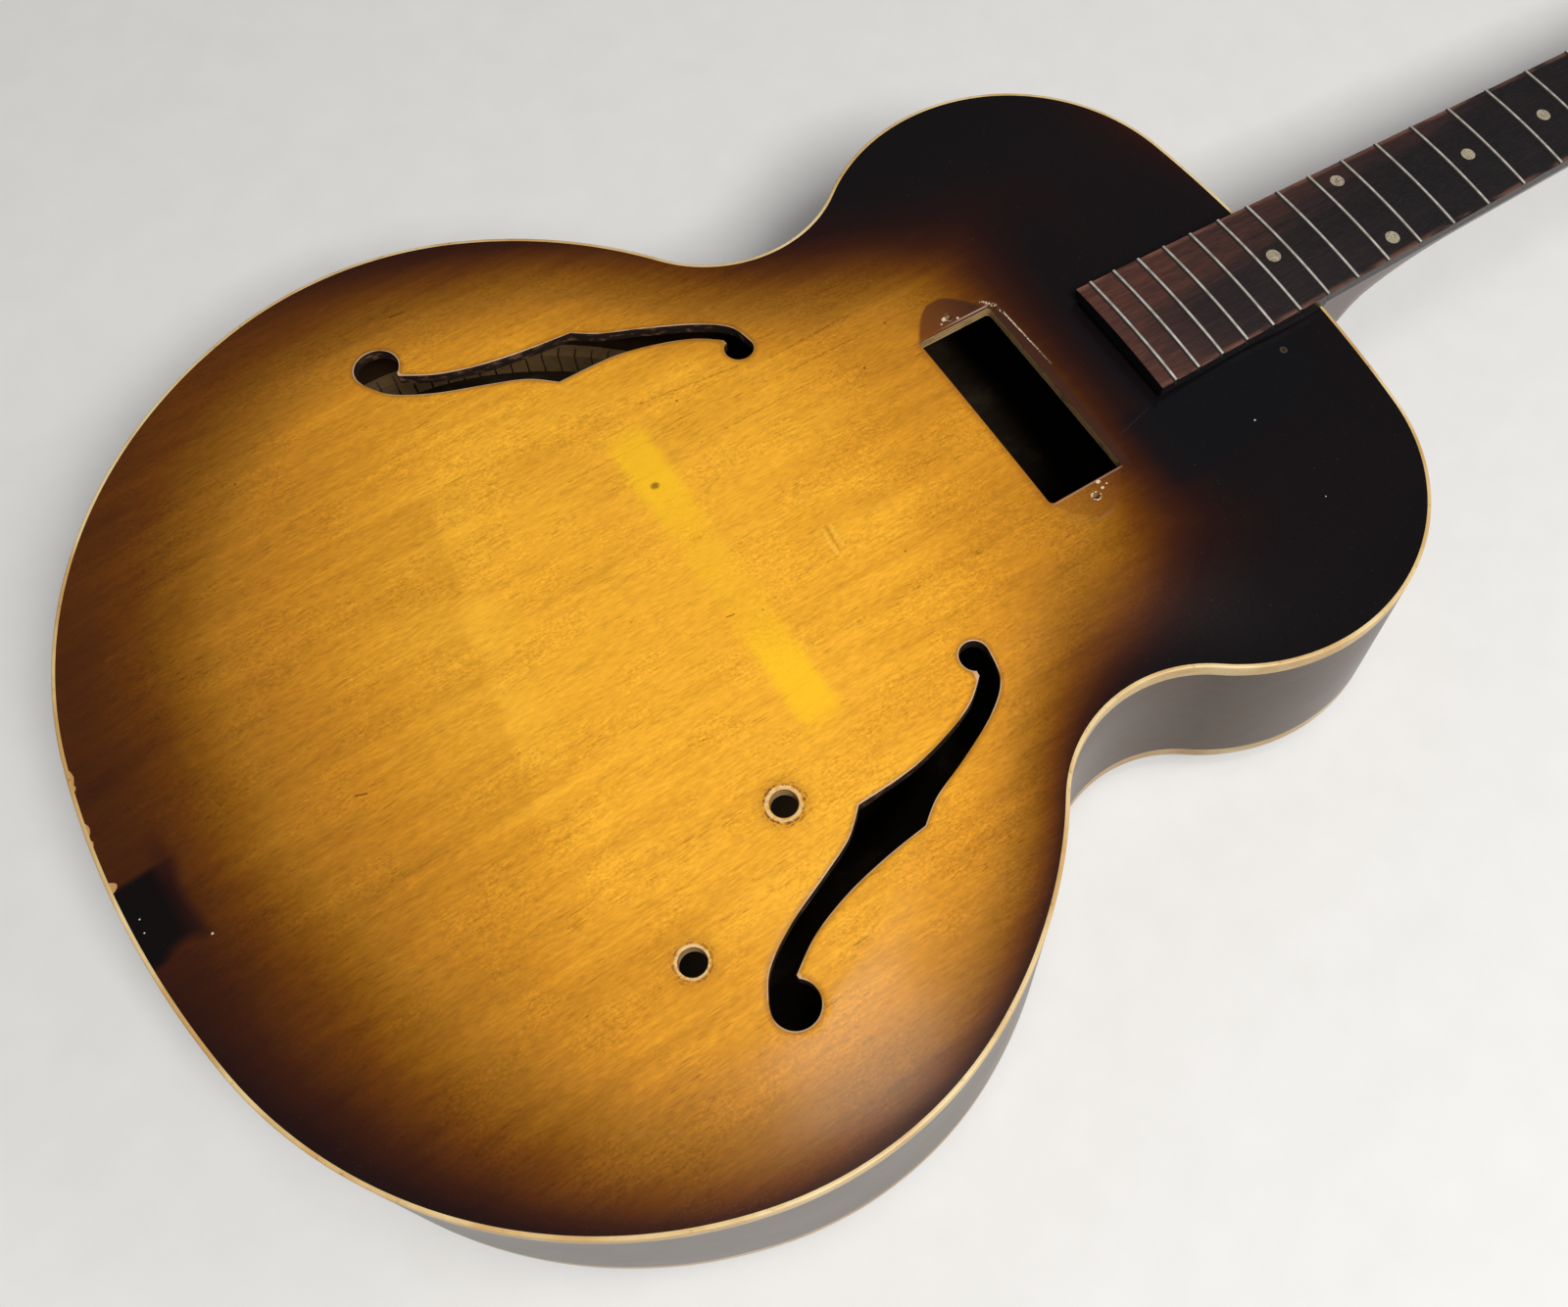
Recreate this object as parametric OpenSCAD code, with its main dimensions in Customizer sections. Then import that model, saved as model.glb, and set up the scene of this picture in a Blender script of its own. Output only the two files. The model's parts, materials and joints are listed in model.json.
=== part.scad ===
// Archtop guitar stripped to its wood: hollow body, neck, fingerboard and frets, with every fitting gone.
// The pickup rout, control holes, screw holes and tuner holes stand empty.
// Body geometry is laid out from the neck joint: x = 0 at the joint and towards the headstock,
// y towards the bass side, z = 0 at the top edge of the rim.

/* [Scale and frets] */
// String length that the frets are spaced for
scale_l = 628.65; // [626:0.05:632]
// Width of the fret crown
fret_w = 2.2; // [1.8:0.1:2.8]
// Height of the fret crown above the board
fret_h = 0.9; // [0.7:0.05:1.2]
// Radius of the fingerboard's cambered top
camber_r = 304.8; // [250:1:400]
// Width of the fingerboard at the nut
nut_w = 43; // [41:0.1:44]
// Width of the fingerboard at its end over the body
board_end_w = 57; // [56:0.1:58]
// Length of board that reaches over the body
board_over_body = 89; // [87:0.5:91]
// Thickness of the fingerboard along its middle
board_t = 6.1; // [5.6:0.1:6.6]
// Downward tilt of the fingerboard towards the nut, in degrees
board_tilt = 3.74; // [3.4:0.01:3.9]
// Height of the fingerboard's underside above the rim at the joint
board_lift = 2.05; // [1.9:0.05:2.4]
// Diameter of the position dots
dot_d = 6.3; // [5:0.1:7]

/* [Body outline] */
// Radius of the flat stretch at the tail
tail_r = 358; // [350:1:366]
// Radius of the lower bout's corner
corner_r = 175; // [172:1:178]
// Radius of the lower bout's side
bout_r = 135; // [132:1:138]
// Radius of the run from the lower bout into the waist
run_r = 176; // [172:1:180]
// Radius of the waist
waist_r = 54; // [50:1:58]
// Radius of the upper bout
shoulder_r = 83; // [80:1:86]

/* [Body shell] */
// Depth of the rim with both plates
rim_h = 86; // [82:1:90]
// Thickness of the bent rim
rim_t = 3; // [2.6:0.1:3.4]
// Thickness of the laminated top and back
plate_t = 5; // [4.4:0.1:5.4]
// Rise of the arched top above its edge
arch_h = 12; // [10:0.5:13]
// Rise of the back, which is flattened where it rests
back_flat_h = 11; // [10:0.5:12]
// Thickness of the cream binding
binding_t = 1.6; // [1.2:0.1:2]
// Height of the binding on the side of the body
binding_h = 6.5; // [6:0.1:8]
// Spacing of the saw kerfs in the lining
kerf_pitch = 8; // [7:0.5:12]

/* [Openings] */
// Width of the pickup rout, along the strings
rout_w = 34.2; // [32:0.1:36]
// Length of the pickup rout, across the strings
rout_l = 88.9; // [86:0.1:92]
// Diameter of the two control holes
control_d = 10; // [8:0.1:11]
// Diameter of the tail pin hole
tail_pin_d = 8; // [6:0.1:9]
// Diameter of the output socket hole
socket_d = 9.6; // [8:0.1:12]

/* [Neck and headstock] */
// Pitch of the headstock below the board's plane, in degrees
head_pitch = 17; // [16:0.1:18]
// Thickness of the headstock under its veneer
head_t = 12.5; // [12:0.1:13.5]
// Thickness of the headstock veneer
veneer_t = 1.5; // [1:0.1:2]
// Depth of the neck's wood under the board at the nut
shaft_depth = 15; // [15:0.1:16]
// Diameter of the tuner holes
tuner_d = 8.8; // [8:0.1:9.4]

/* [Hidden] */
fret_count = 20;
joint_fret = 14;
dotted_frets = [3, 5, 7, 9, 12, 15];
double_dot = 12;
double_dot_y = 18;

function two_digits(n) = n < 10 ? str("0", n) : str(n);
function fret_name(n) = str("fret_", two_digits(n));
function dot_name(n, y) =
    str("dot_", two_digits(n), y == 0 ? "" : y > 0 ? "_bass" : "_treble");
// Every position dot as [fret, distance from the board's middle]
dots = [for (n = dotted_frets)
    for (y = n == double_dot ? [double_dot_y, -double_dot_y] : [0]) [n, y]];

$fn = 64;
camber_fn = 360;

eps = 0.01;
overlap = 0.4;    // how far joined shapes run into each other
glue = 0.35;      // gap left under pieces that follow the faceted arch
far = 400;        // longer than any half width
tall = 200;       // taller than the body

// ---- outline: a chain of tangent arcs from the tail to the neck joint ----
// [radius, turn in degrees]; a negative radius curves the other way, as at the waist
side_arcs = [
    [tail_r, 10.5], [corner_r, 63], [bout_r, 41.5], [run_r, 27.5], [-waist_r, 91], [shoulder_r, 120.5]
];
function heading(i) = i == 0 ? 90 : heading(i - 1) - sign(side_arcs[i - 1][0]) * side_arcs[i - 1][1];
function right_of(h) = [sin(h), -cos(h)];
function arc_start(i) = i == 0 ? [0, 0] : arc_point(side_arcs, i - 1, 1, 0);
function arc_centre(arcs, i) = arc_start(i) + arcs[i][0] * right_of(heading(i));
function arc_point(arcs, i, f, d) =
    let (bend = sign(arcs[i][0]), h = heading(i) - bend * f * arcs[i][1])
    arc_centre(arcs, i) - bend * (abs(arcs[i][0]) - bend * d) * right_of(h);

// The last arc closes the outline at right angles to the centre line
last = len(side_arcs);
closing_arc = [arc_start(last)[1] / cos(heading(last)), 90 + heading(last)];
arcs = concat(side_arcs, [closing_arc]);
body_l = arc_point(arcs, last, 1, 0)[0];
function edge_point(i, f, d) = arc_point(arcs, i, f, d) - [body_l, 0];

arc_step = 4.5;
function pieces(i) = ceil(arcs[i][1] / arc_step);
stations = concat(
    [for (i = [0 : last]) for (k = [0 : pieces(i) - 1]) [i, k / pieces(i)]],
    [[last, 1]]
);
station_count = len(stations);
function half_edge(d) = [for (s = stations) edge_point(s[0], s[1], d)];
function backwards(list) = [for (k = [len(list) - 1 : -1 : 0]) list[k]];
function flipped(list) = [for (p = list) [p[0], -p[1]]];
function whole_edge(d) =
    let (half = half_edge(d))
    concat(half, [for (k = [station_count - 2 : -1 : 1]) [half[k][0], -half[k][1]]]);

// ---- arch of the plates ----
arch_x = -291.4;
arch_reach_x = 234;
arch_reach_y = 173;
arch_edge_w = 55;
function eased(t) = let (c = max(0, min(1, t))) c * c * (3 - 2 * c);
function dome(x, y) =
    arch_h * exp(-pow((x - arch_x) / arch_reach_x, 2) - pow(y / arch_reach_y, 2));
function arch_z(x, y, d, level) = min(level, dome(x, y)) * eased(d / arch_edge_w);
// Near the centre line the nearest edge is one of the two ends, which curve back by their sagitta
function sagitta(r, y) = y * y / (2 * r);
function mid_arch_z(x, y, level) =
    arch_z(x, y, min(-x - sagitta(closing_arc[0], y), body_l + x - sagitta(tail_r, y)), level);

// ---- fingerboard, neck and headstock ----
function fret_from_nut(n) = scale_l * (1 - pow(2, -n / 12));
nut_x = fret_from_nut(joint_fret);
nut_t = 5;
head_x = nut_x + nut_t;
function fret_x(n) = nut_x - fret_from_nut(n);
board_taper = (board_end_w - nut_w) / 2 / (nut_x + board_over_body);
function board_half_w(x) = nut_w / 2 + board_taper * (nut_x - x);
function glue_z(x) = board_lift - x * tan(board_tilt);

full_pitch = head_pitch + board_tilt;
base_z = -rim_h - back_flat_h;
head_z = board_lift - head_x * sin(board_tilt);
// The headstock is as long as it takes for its tip to rest level with the back
head_l = (head_z - base_z - head_t * cos(full_pitch)) / sin(full_pitch);
tip_x = head_x * cos(board_tilt) + head_l * cos(full_pitch) + veneer_t * sin(full_pitch);
middle_x = (tip_x - body_l) / 2;

module part_frame() translate([-middle_x, 0, -base_z]) children();
module on_board() translate([0, 0, board_lift]) rotate([0, board_tilt, 0]) children();
module on_head() on_board() translate([head_x, 0, 0]) rotate([0, head_pitch, 0]) children();

// ---- top and back plates ----
ring_depths = [binding_t, 8, 17, 28, 41, arch_edge_w];
ring_count = len(ring_depths);
around = 2 * station_count - 2;
rows = 4;
row_nodes = 2 * rows - 1;
inner_start = ring_count * around;

function ring_index(r, i) = r * around + (i + around) % around;
// Index of row j (from -rows to rows) at station i, inside the last ring
function cell_index(i, j) =
    i == 0 || i == station_count - 1 || j == rows ? ring_index(ring_count - 1, i)
    : j == -rows ? ring_index(ring_count - 1, -i)
    : inner_start + (i - 1) * row_nodes + j + rows - 1;

function surface_points(level, drop) = concat(
    [for (d = ring_depths) for (p = whole_edge(d)) [p[0], p[1], arch_z(p[0], p[1], d, level) - drop]],
    let (half = half_edge(arch_edge_w))
    [for (i = [1 : station_count - 2]) for (j = [1 - rows : rows - 1])
        let (x = half[i][0], y = half[i][1] * j / rows)
        [x, y, arch_z(x, y, arch_edge_w, level) - drop]]
);
function halves(a, b, c, d) = [[a, b, c], [a, c, d]];
function distinct(faces) = [for (f = faces) if (f[0] != f[1] && f[1] != f[2] && f[0] != f[2]) f];
surface_faces = distinct(concat(
    [for (r = [0 : ring_count - 2]) for (i = [0 : around - 1])
        each halves(ring_index(r, i), ring_index(r, i + 1), ring_index(r + 1, i + 1), ring_index(r + 1, i))],
    [for (i = [0 : station_count - 2]) for (j = [-rows : rows - 1])
        each halves(cell_index(i, j), cell_index(i, j + 1), cell_index(i + 1, j + 1), cell_index(i + 1, j))]
));

// A plate with its arch upwards and its edge's top face at z = 0
module arched_plate(level) {
    upper = surface_points(level, 0);
    lower = surface_points(level, plate_t);
    n = len(upper);
    polyhedron(
        points = concat(upper, lower),
        faces = concat(
            surface_faces,
            [for (f = surface_faces) [f[2] + n, f[1] + n, f[0] + n]],
            [for (i = [0 : around - 1])
                each halves(ring_index(0, i), ring_index(0, i) + n, ring_index(0, i + 1) + n, ring_index(0, i + 1))]
        )
    );
}

// ---- sound holes ----
neck_eye = [-214.5, -80.5];
neck_eye_r = 5.7;
tail_eye = [-335.5, -150.7];
tail_eye_r = 8.5;
// Each edge of the treble hole is two curves that meet at a nick
inner_neck_edge = [[-217.2, -87.8], [-226.2, -94.8], [-240, -100.2], [-258, -104.2], [-280.5, -105]];
inner_tail_edge = [[-280.5, -105], [-290, -113.2], [-304, -119.6], [-322, -127.2], [-336.2, -136.2],
    [-343.2, -146.5]];
outer_tail_edge = [[-330.2, -142.5], [-317.5, -134.6], [-301, -128.9], [-283, -125.5], [-265.5, -123.6]];
outer_neck_edge = [[-265.5, -123.6], [-256, -117], [-240, -110.4], [-222, -101.6], [-211.5, -92.6],
    [-208.8, -80.9]];

// A smooth curve through every point of a list
function clamped(list, k) = list[max(0, min(len(list) - 1, k))];
function through(list, steps) = concat(
    [for (k = [0 : len(list) - 2]) for (s = [0 : steps - 1])
        let (t = s / steps, a = clamped(list, k - 1), b = list[k], c = list[k + 1], e = clamped(list, k + 2))
        0.5 * (2 * b + (c - a) * t + (2 * a - 5 * b + 4 * c - e) * t * t + (3 * b - a - 3 * c + e) * t * t * t)],
    [list[len(list) - 1]]
);
hole_steps = 4;
module treble_sound_hole() {
    polygon(concat(
        [neck_eye],
        through(inner_neck_edge, hole_steps),
        through(inner_tail_edge, hole_steps),
        [tail_eye],
        through(outer_tail_edge, hole_steps),
        through(outer_neck_edge, hole_steps)
    ));
    translate(neck_eye) circle(neck_eye_r);
    translate(tail_eye) circle(tail_eye_r);
}

// ---- other openings ----
rout_centre = [-136.6, -0.25];
rout_corner_r = 2;
pickup_screws = [[-136.6, 48.5], [-136.6, -50.8]];
pickup_screw_r = 1.3;
control_holes = [[-301.75, -90.4], [-356.1, -119.9]];
tenon_l = 24;
tenon_front_w = 24;
tenon_back_w = 31;
tenon_play = 0.2;
tenon_foot_z = -77;

module rounded_slot(w, l, r) {
    square([w - 2 * r, l], center = true);
    square([w, l - 2 * r], center = true);
    for (x = [-1, 1], y = [-1, 1]) translate([x * (w / 2 - r), y * (l / 2 - r)]) circle(r);
}
module through_top() translate([0, 0, -tall / 2]) linear_extrude(tall) children();
module dovetail(grow) polygon([
    [1 + grow, tenon_front_w / 2 + grow], [1 + grow, -tenon_front_w / 2 - grow],
    [-tenon_l - grow, -tenon_back_w / 2 - grow], [-tenon_l - grow, tenon_back_w / 2 + grow]
]);
module mortise() translate([0, 0, tenon_foot_z - tenon_play]) linear_extrude(tall) dovetail(tenon_play);

module top_plate() color("goldenrod") part_frame() difference() {
    arched_plate(arch_h);
    through_top() treble_sound_hole();
    through_top() mirror([0, 1]) treble_sound_hole();
    through_top() translate(rout_centre) rounded_slot(rout_w, rout_l, rout_corner_r);
    for (p = control_holes) translate([p[0], p[1], -tall / 2]) cylinder(r = control_d / 2, h = tall);
    for (p = pickup_screws) translate([p[0], p[1], -tall / 2]) cylinder(r = pickup_screw_r, h = tall);
    mortise();
}
module back_plate() color("saddlebrown") part_frame()
    translate([0, 0, -rim_h]) mirror([0, 0, 1]) arched_plate(back_flat_h);

// ---- rims, bindings and linings ----
module side_strip(from_d, to_d, low, high) translate([0, 0, low]) linear_extrude(high - low)
    polygon(concat(half_edge(from_d), backwards(half_edge(to_d))));
module rim_strip() {
    side_strip(0, rim_t, binding_h - rim_h, -binding_h);
    side_strip(binding_t, rim_t, plate_t - rim_h, -plate_t);
}
tail_pin_z = -rim_h / 2;
tail_screw_r = 1.2;
tail_screws = [[0, 14], [9, -12], [-9, -12]];
module tail_pin_hole() translate([-body_l - 1, 0, tail_pin_z]) rotate([0, 90, 0])
    cylinder(r = tail_pin_d / 2, h = 40);
module tail_screw_holes() for (p = tail_screws)
    translate([-body_l - 1, p[0], tail_pin_z + p[1]]) rotate([0, 90, 0]) cylinder(r = tail_screw_r, h = 16);

socket_arc = 1;
socket_along = 0.3;
socket_heading = heading(socket_arc) - socket_along * side_arcs[socket_arc][1];
module socket_hole()
    translate([edge_point(socket_arc, socket_along, 0)[0], -edge_point(socket_arc, socket_along, 0)[1], tail_pin_z])
    rotate([0, 90, 90 - socket_heading]) translate([0, 0, -10])
    cylinder(r = socket_d / 2, h = 20);

module rim_bass() color("#3a2018") part_frame() difference() {
    rim_strip();
    mortise();
    tail_pin_hole();
    tail_screw_holes();
}
module rim_treble() color("#3a2018") part_frame() difference() {
    mirror([0, 1, 0]) rim_strip();
    mortise();
    tail_pin_hole();
    tail_screw_holes();
    socket_hole();
}
module binding_ring(low) translate([0, 0, low]) linear_extrude(binding_h) difference() {
    polygon(whole_edge(0));
    polygon(whole_edge(binding_t));
}
module top_binding() color("wheat") part_frame() difference() {
    binding_ring(-binding_h);
    mortise();
}
module back_binding() color("wheat") part_frame() binding_ring(-rim_h);

lining_t = 6;
lining_h = 12;
kerf_depth = 4.5;
kerf_w = 0.9;
head_block_w = 90;
tail_block_w = 80;
head_block_l = 55;
tail_block_l = 22;
function kerfs(i) = ceil((abs(arcs[i][0]) * arcs[i][1]) * PI / 180 / kerf_pitch);
// The lining's inner edge, notched by a saw kerf at each step of the pitch
kerfed_edge = [for (i = [0 : last]) for (k = [0 : kerfs(i) - 1]) for (corner = [0 : 3])
    let (gap = kerf_w / kerf_pitch, f = (k + [0, 1 - gap, 1 - gap, 1][corner]) / kerfs(i))
    edge_point(i, f, rim_t + (corner < 2 ? lining_t : lining_t - kerf_depth))];
module block_spaces(grow) {
    translate([-head_block_l - grow, -head_block_w / 2 - grow, -tall]) cube([far, head_block_w + 2 * grow, 2 * tall]);
    translate([tail_block_l + grow - body_l - far, -tail_block_w / 2 - grow, -tall])
        cube([far, tail_block_w + 2 * grow, 2 * tall]);
}
module lining(low) difference() {
    translate([0, 0, low]) linear_extrude(lining_h)
        polygon(concat(half_edge(rim_t), backwards(kerfed_edge)));
    block_spaces(glue);
}
top_lining_z = -plate_t - lining_h;
back_lining_z = plate_t - rim_h;
module top_lining_bass() color("burlywood") part_frame() lining(top_lining_z);
module top_lining_treble() color("burlywood") part_frame() mirror([0, 1, 0]) lining(top_lining_z);
module back_lining_bass() color("burlywood") part_frame() lining(back_lining_z);
module back_lining_treble() color("burlywood") part_frame() mirror([0, 1, 0]) lining(back_lining_z);

// ---- blocks and tone bars inside the body ----
profile_step = 11;
// The space between the plates from x0 to x1, clear of both arches as far out as y
module between_plates(x0, x1, y) {
    n = ceil((x1 - x0) / profile_step);
    xs = [for (k = [0 : n]) x0 + (x1 - x0) * k / n];
    rotate([90, 0, 0]) translate([0, 0, -far]) linear_extrude(2 * far) polygon(concat(
        [for (x = xs) [x, mid_arch_z(x, y, arch_h) * 0.97 - plate_t]],
        [for (x = backwards(xs)) [x, plate_t - rim_h - mid_arch_z(x, y, back_flat_h) * 0.97]]
    ));
}
module inside_rim() translate([0, 0, -tall]) linear_extrude(2 * tall) polygon(whole_edge(rim_t));
module head_block() color("peru") part_frame() difference() {
    intersection() {
        inside_rim();
        between_plates(-head_block_l, -rim_t, head_block_w / 2);
        translate([-head_block_l, -head_block_w / 2, -tall]) cube([far, head_block_w, 2 * tall]);
    }
    mortise();
}
module tail_block() color("peru") part_frame() difference() {
    intersection() {
        inside_rim();
        between_plates(rim_t - body_l, tail_block_l - body_l, tail_block_w / 2);
        translate([-body_l, -tail_block_w / 2, -tall]) cube([far, tail_block_w, 2 * tall]);
    }
    tail_pin_hole();
    tail_screw_holes();
}

bar_y = 59;
bar_w = 8;
bar_h = 12;
bar_end_h = 4;
bar_from = -430;
bar_to = -108;
bar_steps = 24;
module tone_bar() {
    xs = [for (k = [0 : bar_steps]) bar_from + (bar_to - bar_from) * k / bar_steps];
    middle = (bar_from + bar_to) / 2;
    reach = (bar_to - bar_from) / 2;
    function under(x) = arch_z(x, bar_y + bar_w / 2, arch_edge_w, arch_h) - plate_t - glue;
    function deep(x) = bar_end_h + (bar_h - bar_end_h) * (1 - pow((x - middle) / reach, 4));
    translate([0, bar_y + bar_w / 2, 0]) rotate([90, 0, 0]) linear_extrude(bar_w) polygon(concat(
        [for (x = xs) [x, under(x)]],
        [for (x = backwards(xs)) [x, under(x) - deep(x)]]
    ));
}
module tone_bar_bass() color("burlywood") part_frame() tone_bar();
module tone_bar_treble() color("burlywood") part_frame() mirror([0, 1, 0]) tone_bar();

// ---- neck: shaft, heel and dovetail tenon, and the headstock glued to it ----
heel_face_x = 0.1;
heel_nose_x = 20;
heel_blend_x = 80;
heel_low_z = -98;       // the heel's curve runs on below the back, where it is cut off flat
heel_cap_t = 3;
heel_foot_z = heel_cap_t - rim_h;
heel_narrowing = 0.5;
shaft_growth = 3;       // extra depth at the heel end of the shaft
section_points = 24;
function shaft_low_z(x) = glue_z(x) - shaft_depth - shaft_growth * (1 - x / nut_x);
function low_z(x) =
    x >= heel_blend_x ? shaft_low_z(x)
    : x <= heel_nose_x ? heel_low_z
    : heel_low_z + (shaft_low_z(heel_blend_x) - heel_low_z)
        * sqrt(1 - pow((heel_blend_x - x) / (heel_blend_x - heel_nose_x), 2));
// Sections are squarer at the heel and rounder along the shaft
function squareness(x) = 2.1 + 3.5 * (1 - eased(x / (1.6 * heel_nose_x)));
function power(v, e) = sign(v) * pow(abs(v), e);
function section(x) =
    let (n = squareness(x), top = glue_z(x), deep = top - low_z(x), w = board_half_w(x))
    [for (k = [0 : section_points])
        let (a = 180 * k / section_points, t = deep * pow(sin(a), 2 / n))
        [x, power(cos(a), 2 / n) * w * (1 - heel_narrowing * t / (glue_z(0) - heel_low_z)), top - t]];
heel_stations = [for (a = [0 : 9 : 90]) heel_blend_x - (heel_blend_x - heel_nose_x) * cos(a)];
shaft_end_x = head_x * cos(board_tilt) + overlap;
shaft_stations = [for (k = [1 : 6]) heel_blend_x + (shaft_end_x - heel_blend_x) * k / 6];
neck_stations = concat([heel_face_x, 7, 14], heel_stations, shaft_stations);
module neck_loft() {
    ring = section_points + 1;
    count = len(neck_stations);
    polyhedron(
        points = [for (x = neck_stations) each section(x)],
        faces = concat(
            [[for (k = [ring - 1 : -1 : 0]) k]],
            [[for (k = [0 : ring - 1]) (count - 1) * ring + k]],
            [for (s = [0 : count - 2]) for (k = [0 : ring - 1])
                each halves(s * ring + k, s * ring + (k + 1) % ring, (s + 1) * ring + (k + 1) % ring, (s + 1) * ring + k)]
        )
    );
}
module below(z) translate([-far, -far, z - tall]) cube([3 * far, 2 * far, tall]);

rod_r = 2.4;
rod_z = -9.5;
rod_from = 12;
rod_past_nut = 17;
channel_w = 5.2;
channel_z = rod_z - rod_r - 0.15;
pocket_from = 4;
pocket_to = 26;
pocket_r = 5.2;
pocket_z = -13.8;
module rod_channel() on_board() translate([rod_from - 2, -channel_w / 2, channel_z])
    cube([head_x + pocket_from - rod_from + 3, channel_w, tall]);
module rod_pocket() on_board() translate([head_x, 0, pocket_z]) linear_extrude(tall) {
    translate([pocket_from, -pocket_r]) square([pocket_to - pocket_r - pocket_from, 2 * pocket_r]);
    translate([pocket_to - pocket_r, 0]) circle(pocket_r);
}

core_half_w = 30.5;
head_start_half_w = nut_w / 2 + 0.4;
head_shoulder_half_w = 36.5;
head_tip_half_w = 40;
head_corner_r = 10;
shoulder_s = 34;
tuner_s = [44, 86, 128];
tuner_y = 25;
function bezier(a, b, c, d, steps) = [for (k = [0 : steps])
    let (t = k / steps, u = 1 - t) u * u * u * a + 3 * u * u * t * b + 3 * u * t * t * c + t * t * t * d];
head_side = concat(
    bezier([0, head_start_half_w], [15, head_start_half_w], [14, head_shoulder_half_w],
        [shoulder_s, head_shoulder_half_w], 10),
    [for (a = [90 : -10 : 0]) [head_l - head_corner_r + head_corner_r * cos(a),
        head_tip_half_w - head_corner_r + head_corner_r * sin(a)]]
);
module head_outline() polygon(concat(head_side, backwards(flipped(head_side))));
module head_slab(low, high) on_head() translate([0, 0, low]) linear_extrude(high - low) children();
module tuner_holes() on_head() for (s = tuner_s, y = [-tuner_y, tuner_y])
    translate([s, y, -tall / 4]) cylinder(r = tuner_d / 2, h = tall / 2);

// The headstock is glued under the end of the shaft along a slanting face that comes up beneath the nut
scarf_angle = 20;
module below_scarf() on_board() translate([nut_x + 1, 0, 0]) rotate([0, -scarf_angle, 0]) below(0);

module neck() color("#5a2c1a") part_frame() difference() {
    union() {
        difference() {
            neck_loft();
            below(heel_foot_z);
        }
        intersection() {
            translate([0, 0, tenon_foot_z]) linear_extrude(tall) dovetail(0);
            on_board() below(-overlap);
        }
    }
    below_scarf();
    rod_channel();
}
module headstock_core() color("#5a2c1a") part_frame() difference() {
    intersection() {
        union() {
            neck_loft();
            head_slab(-head_t, 0) intersection() {
                head_outline();
                translate([0, -core_half_w]) square([far, 2 * core_half_w]);
            }
        }
        below_scarf();
        translate([nut_x / 2, -far, -tall]) cube([far, 2 * far, 2 * tall]);
    }
    rod_channel();
    rod_pocket();
    tuner_holes();
}
module heel_cap() color("#1c1714") part_frame() difference() {
    neck_loft();
    below(-rim_h);
    translate([-far, -far, heel_foot_z]) cube([3 * far, 2 * far, tall]);
}
module head_wing() head_slab(-head_t, 0) intersection() {
    head_outline();
    translate([0, core_half_w]) square([far, far]);
}
module headstock_wing_bass() color("#5a2c1a") part_frame() head_wing();
module headstock_wing_treble() color("#5a2c1a") part_frame() mirror([0, 1, 0]) head_wing();
module headstock_veneer() color("#151210") part_frame() difference() {
    head_slab(0, veneer_t) intersection() {
        head_outline();
        translate([0.6, -far]) square([far, 2 * far]);
    }
    rod_pocket();
    tuner_holes();
}

// ---- truss rod ----
module along_board(x, z) on_board() translate([x, 0, z]) rotate([0, 90, 0]) children();
washer_t = 2;
washer_r = 4.2;
nut_l = 9;
module truss_rod() color("dimgray") part_frame()
    along_board(rod_from, rod_z) cylinder(r = rod_r, h = head_x + rod_past_nut - rod_from);
module truss_rod_washer() color("silver") part_frame() along_board(head_x + pocket_from, rod_z) difference() {
    cylinder(r = washer_r, h = washer_t);
    translate([0, 0, -1]) cylinder(r = rod_r + 0.05, h = washer_t + 2);
}
module truss_rod_nut() color("darkgoldenrod") part_frame()
    along_board(head_x + pocket_from + washer_t, rod_z) difference() {
        cylinder(r = washer_r, h = nut_l, $fn = 6);
        translate([0, 0, -1]) cylinder(r = rod_r + 0.05, h = nut_l + 2);
    }
fillet_z = rod_z + rod_r + 0.1;
module truss_rod_fillet() color("peru") part_frame() on_board()
    translate([rod_from - 2, -channel_w / 2, fillet_z]) cube([nut_x - rod_from + 2, channel_w, -fillet_z]);

// ---- fingerboard, frets, dots and nut ----
slot_w = 0.6;
slot_depth = 2;
tang_w = 0.56;
tang_depth = 1.8;
dot_t = 2.9;
side_dot_r = 1;
side_dot_t = 1.5;
side_dot_z = 3;
camber_z = board_t - camber_r;
board_edge_drop = 1.4;
dot_fn = 96;
module board_plan() polygon([
    [-board_over_body, board_half_w(-board_over_body)], [nut_x, nut_w / 2],
    [nut_x, -nut_w / 2], [-board_over_body, -board_half_w(-board_over_body)]
]);
module camber() translate([-board_over_body - 1, 0, camber_z]) rotate([0, 90, 0])
    cylinder(r = camber_r, h = nut_x + board_over_body + 2, $fn = camber_fn);
function dot_x(n) = (fret_x(n) + fret_x(n - 1)) / 2;
module side_dot_plugs() for (d = dots)
    translate([dot_x(d[0]) + (d[1] == 0 ? 0 : sign(d[1]) * 4), board_half_w(dot_x(d[0])) - side_dot_t, side_dot_z])
    rotate([-90, 0, 0]) cylinder(r = side_dot_r, h = 2 * side_dot_t);

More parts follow.
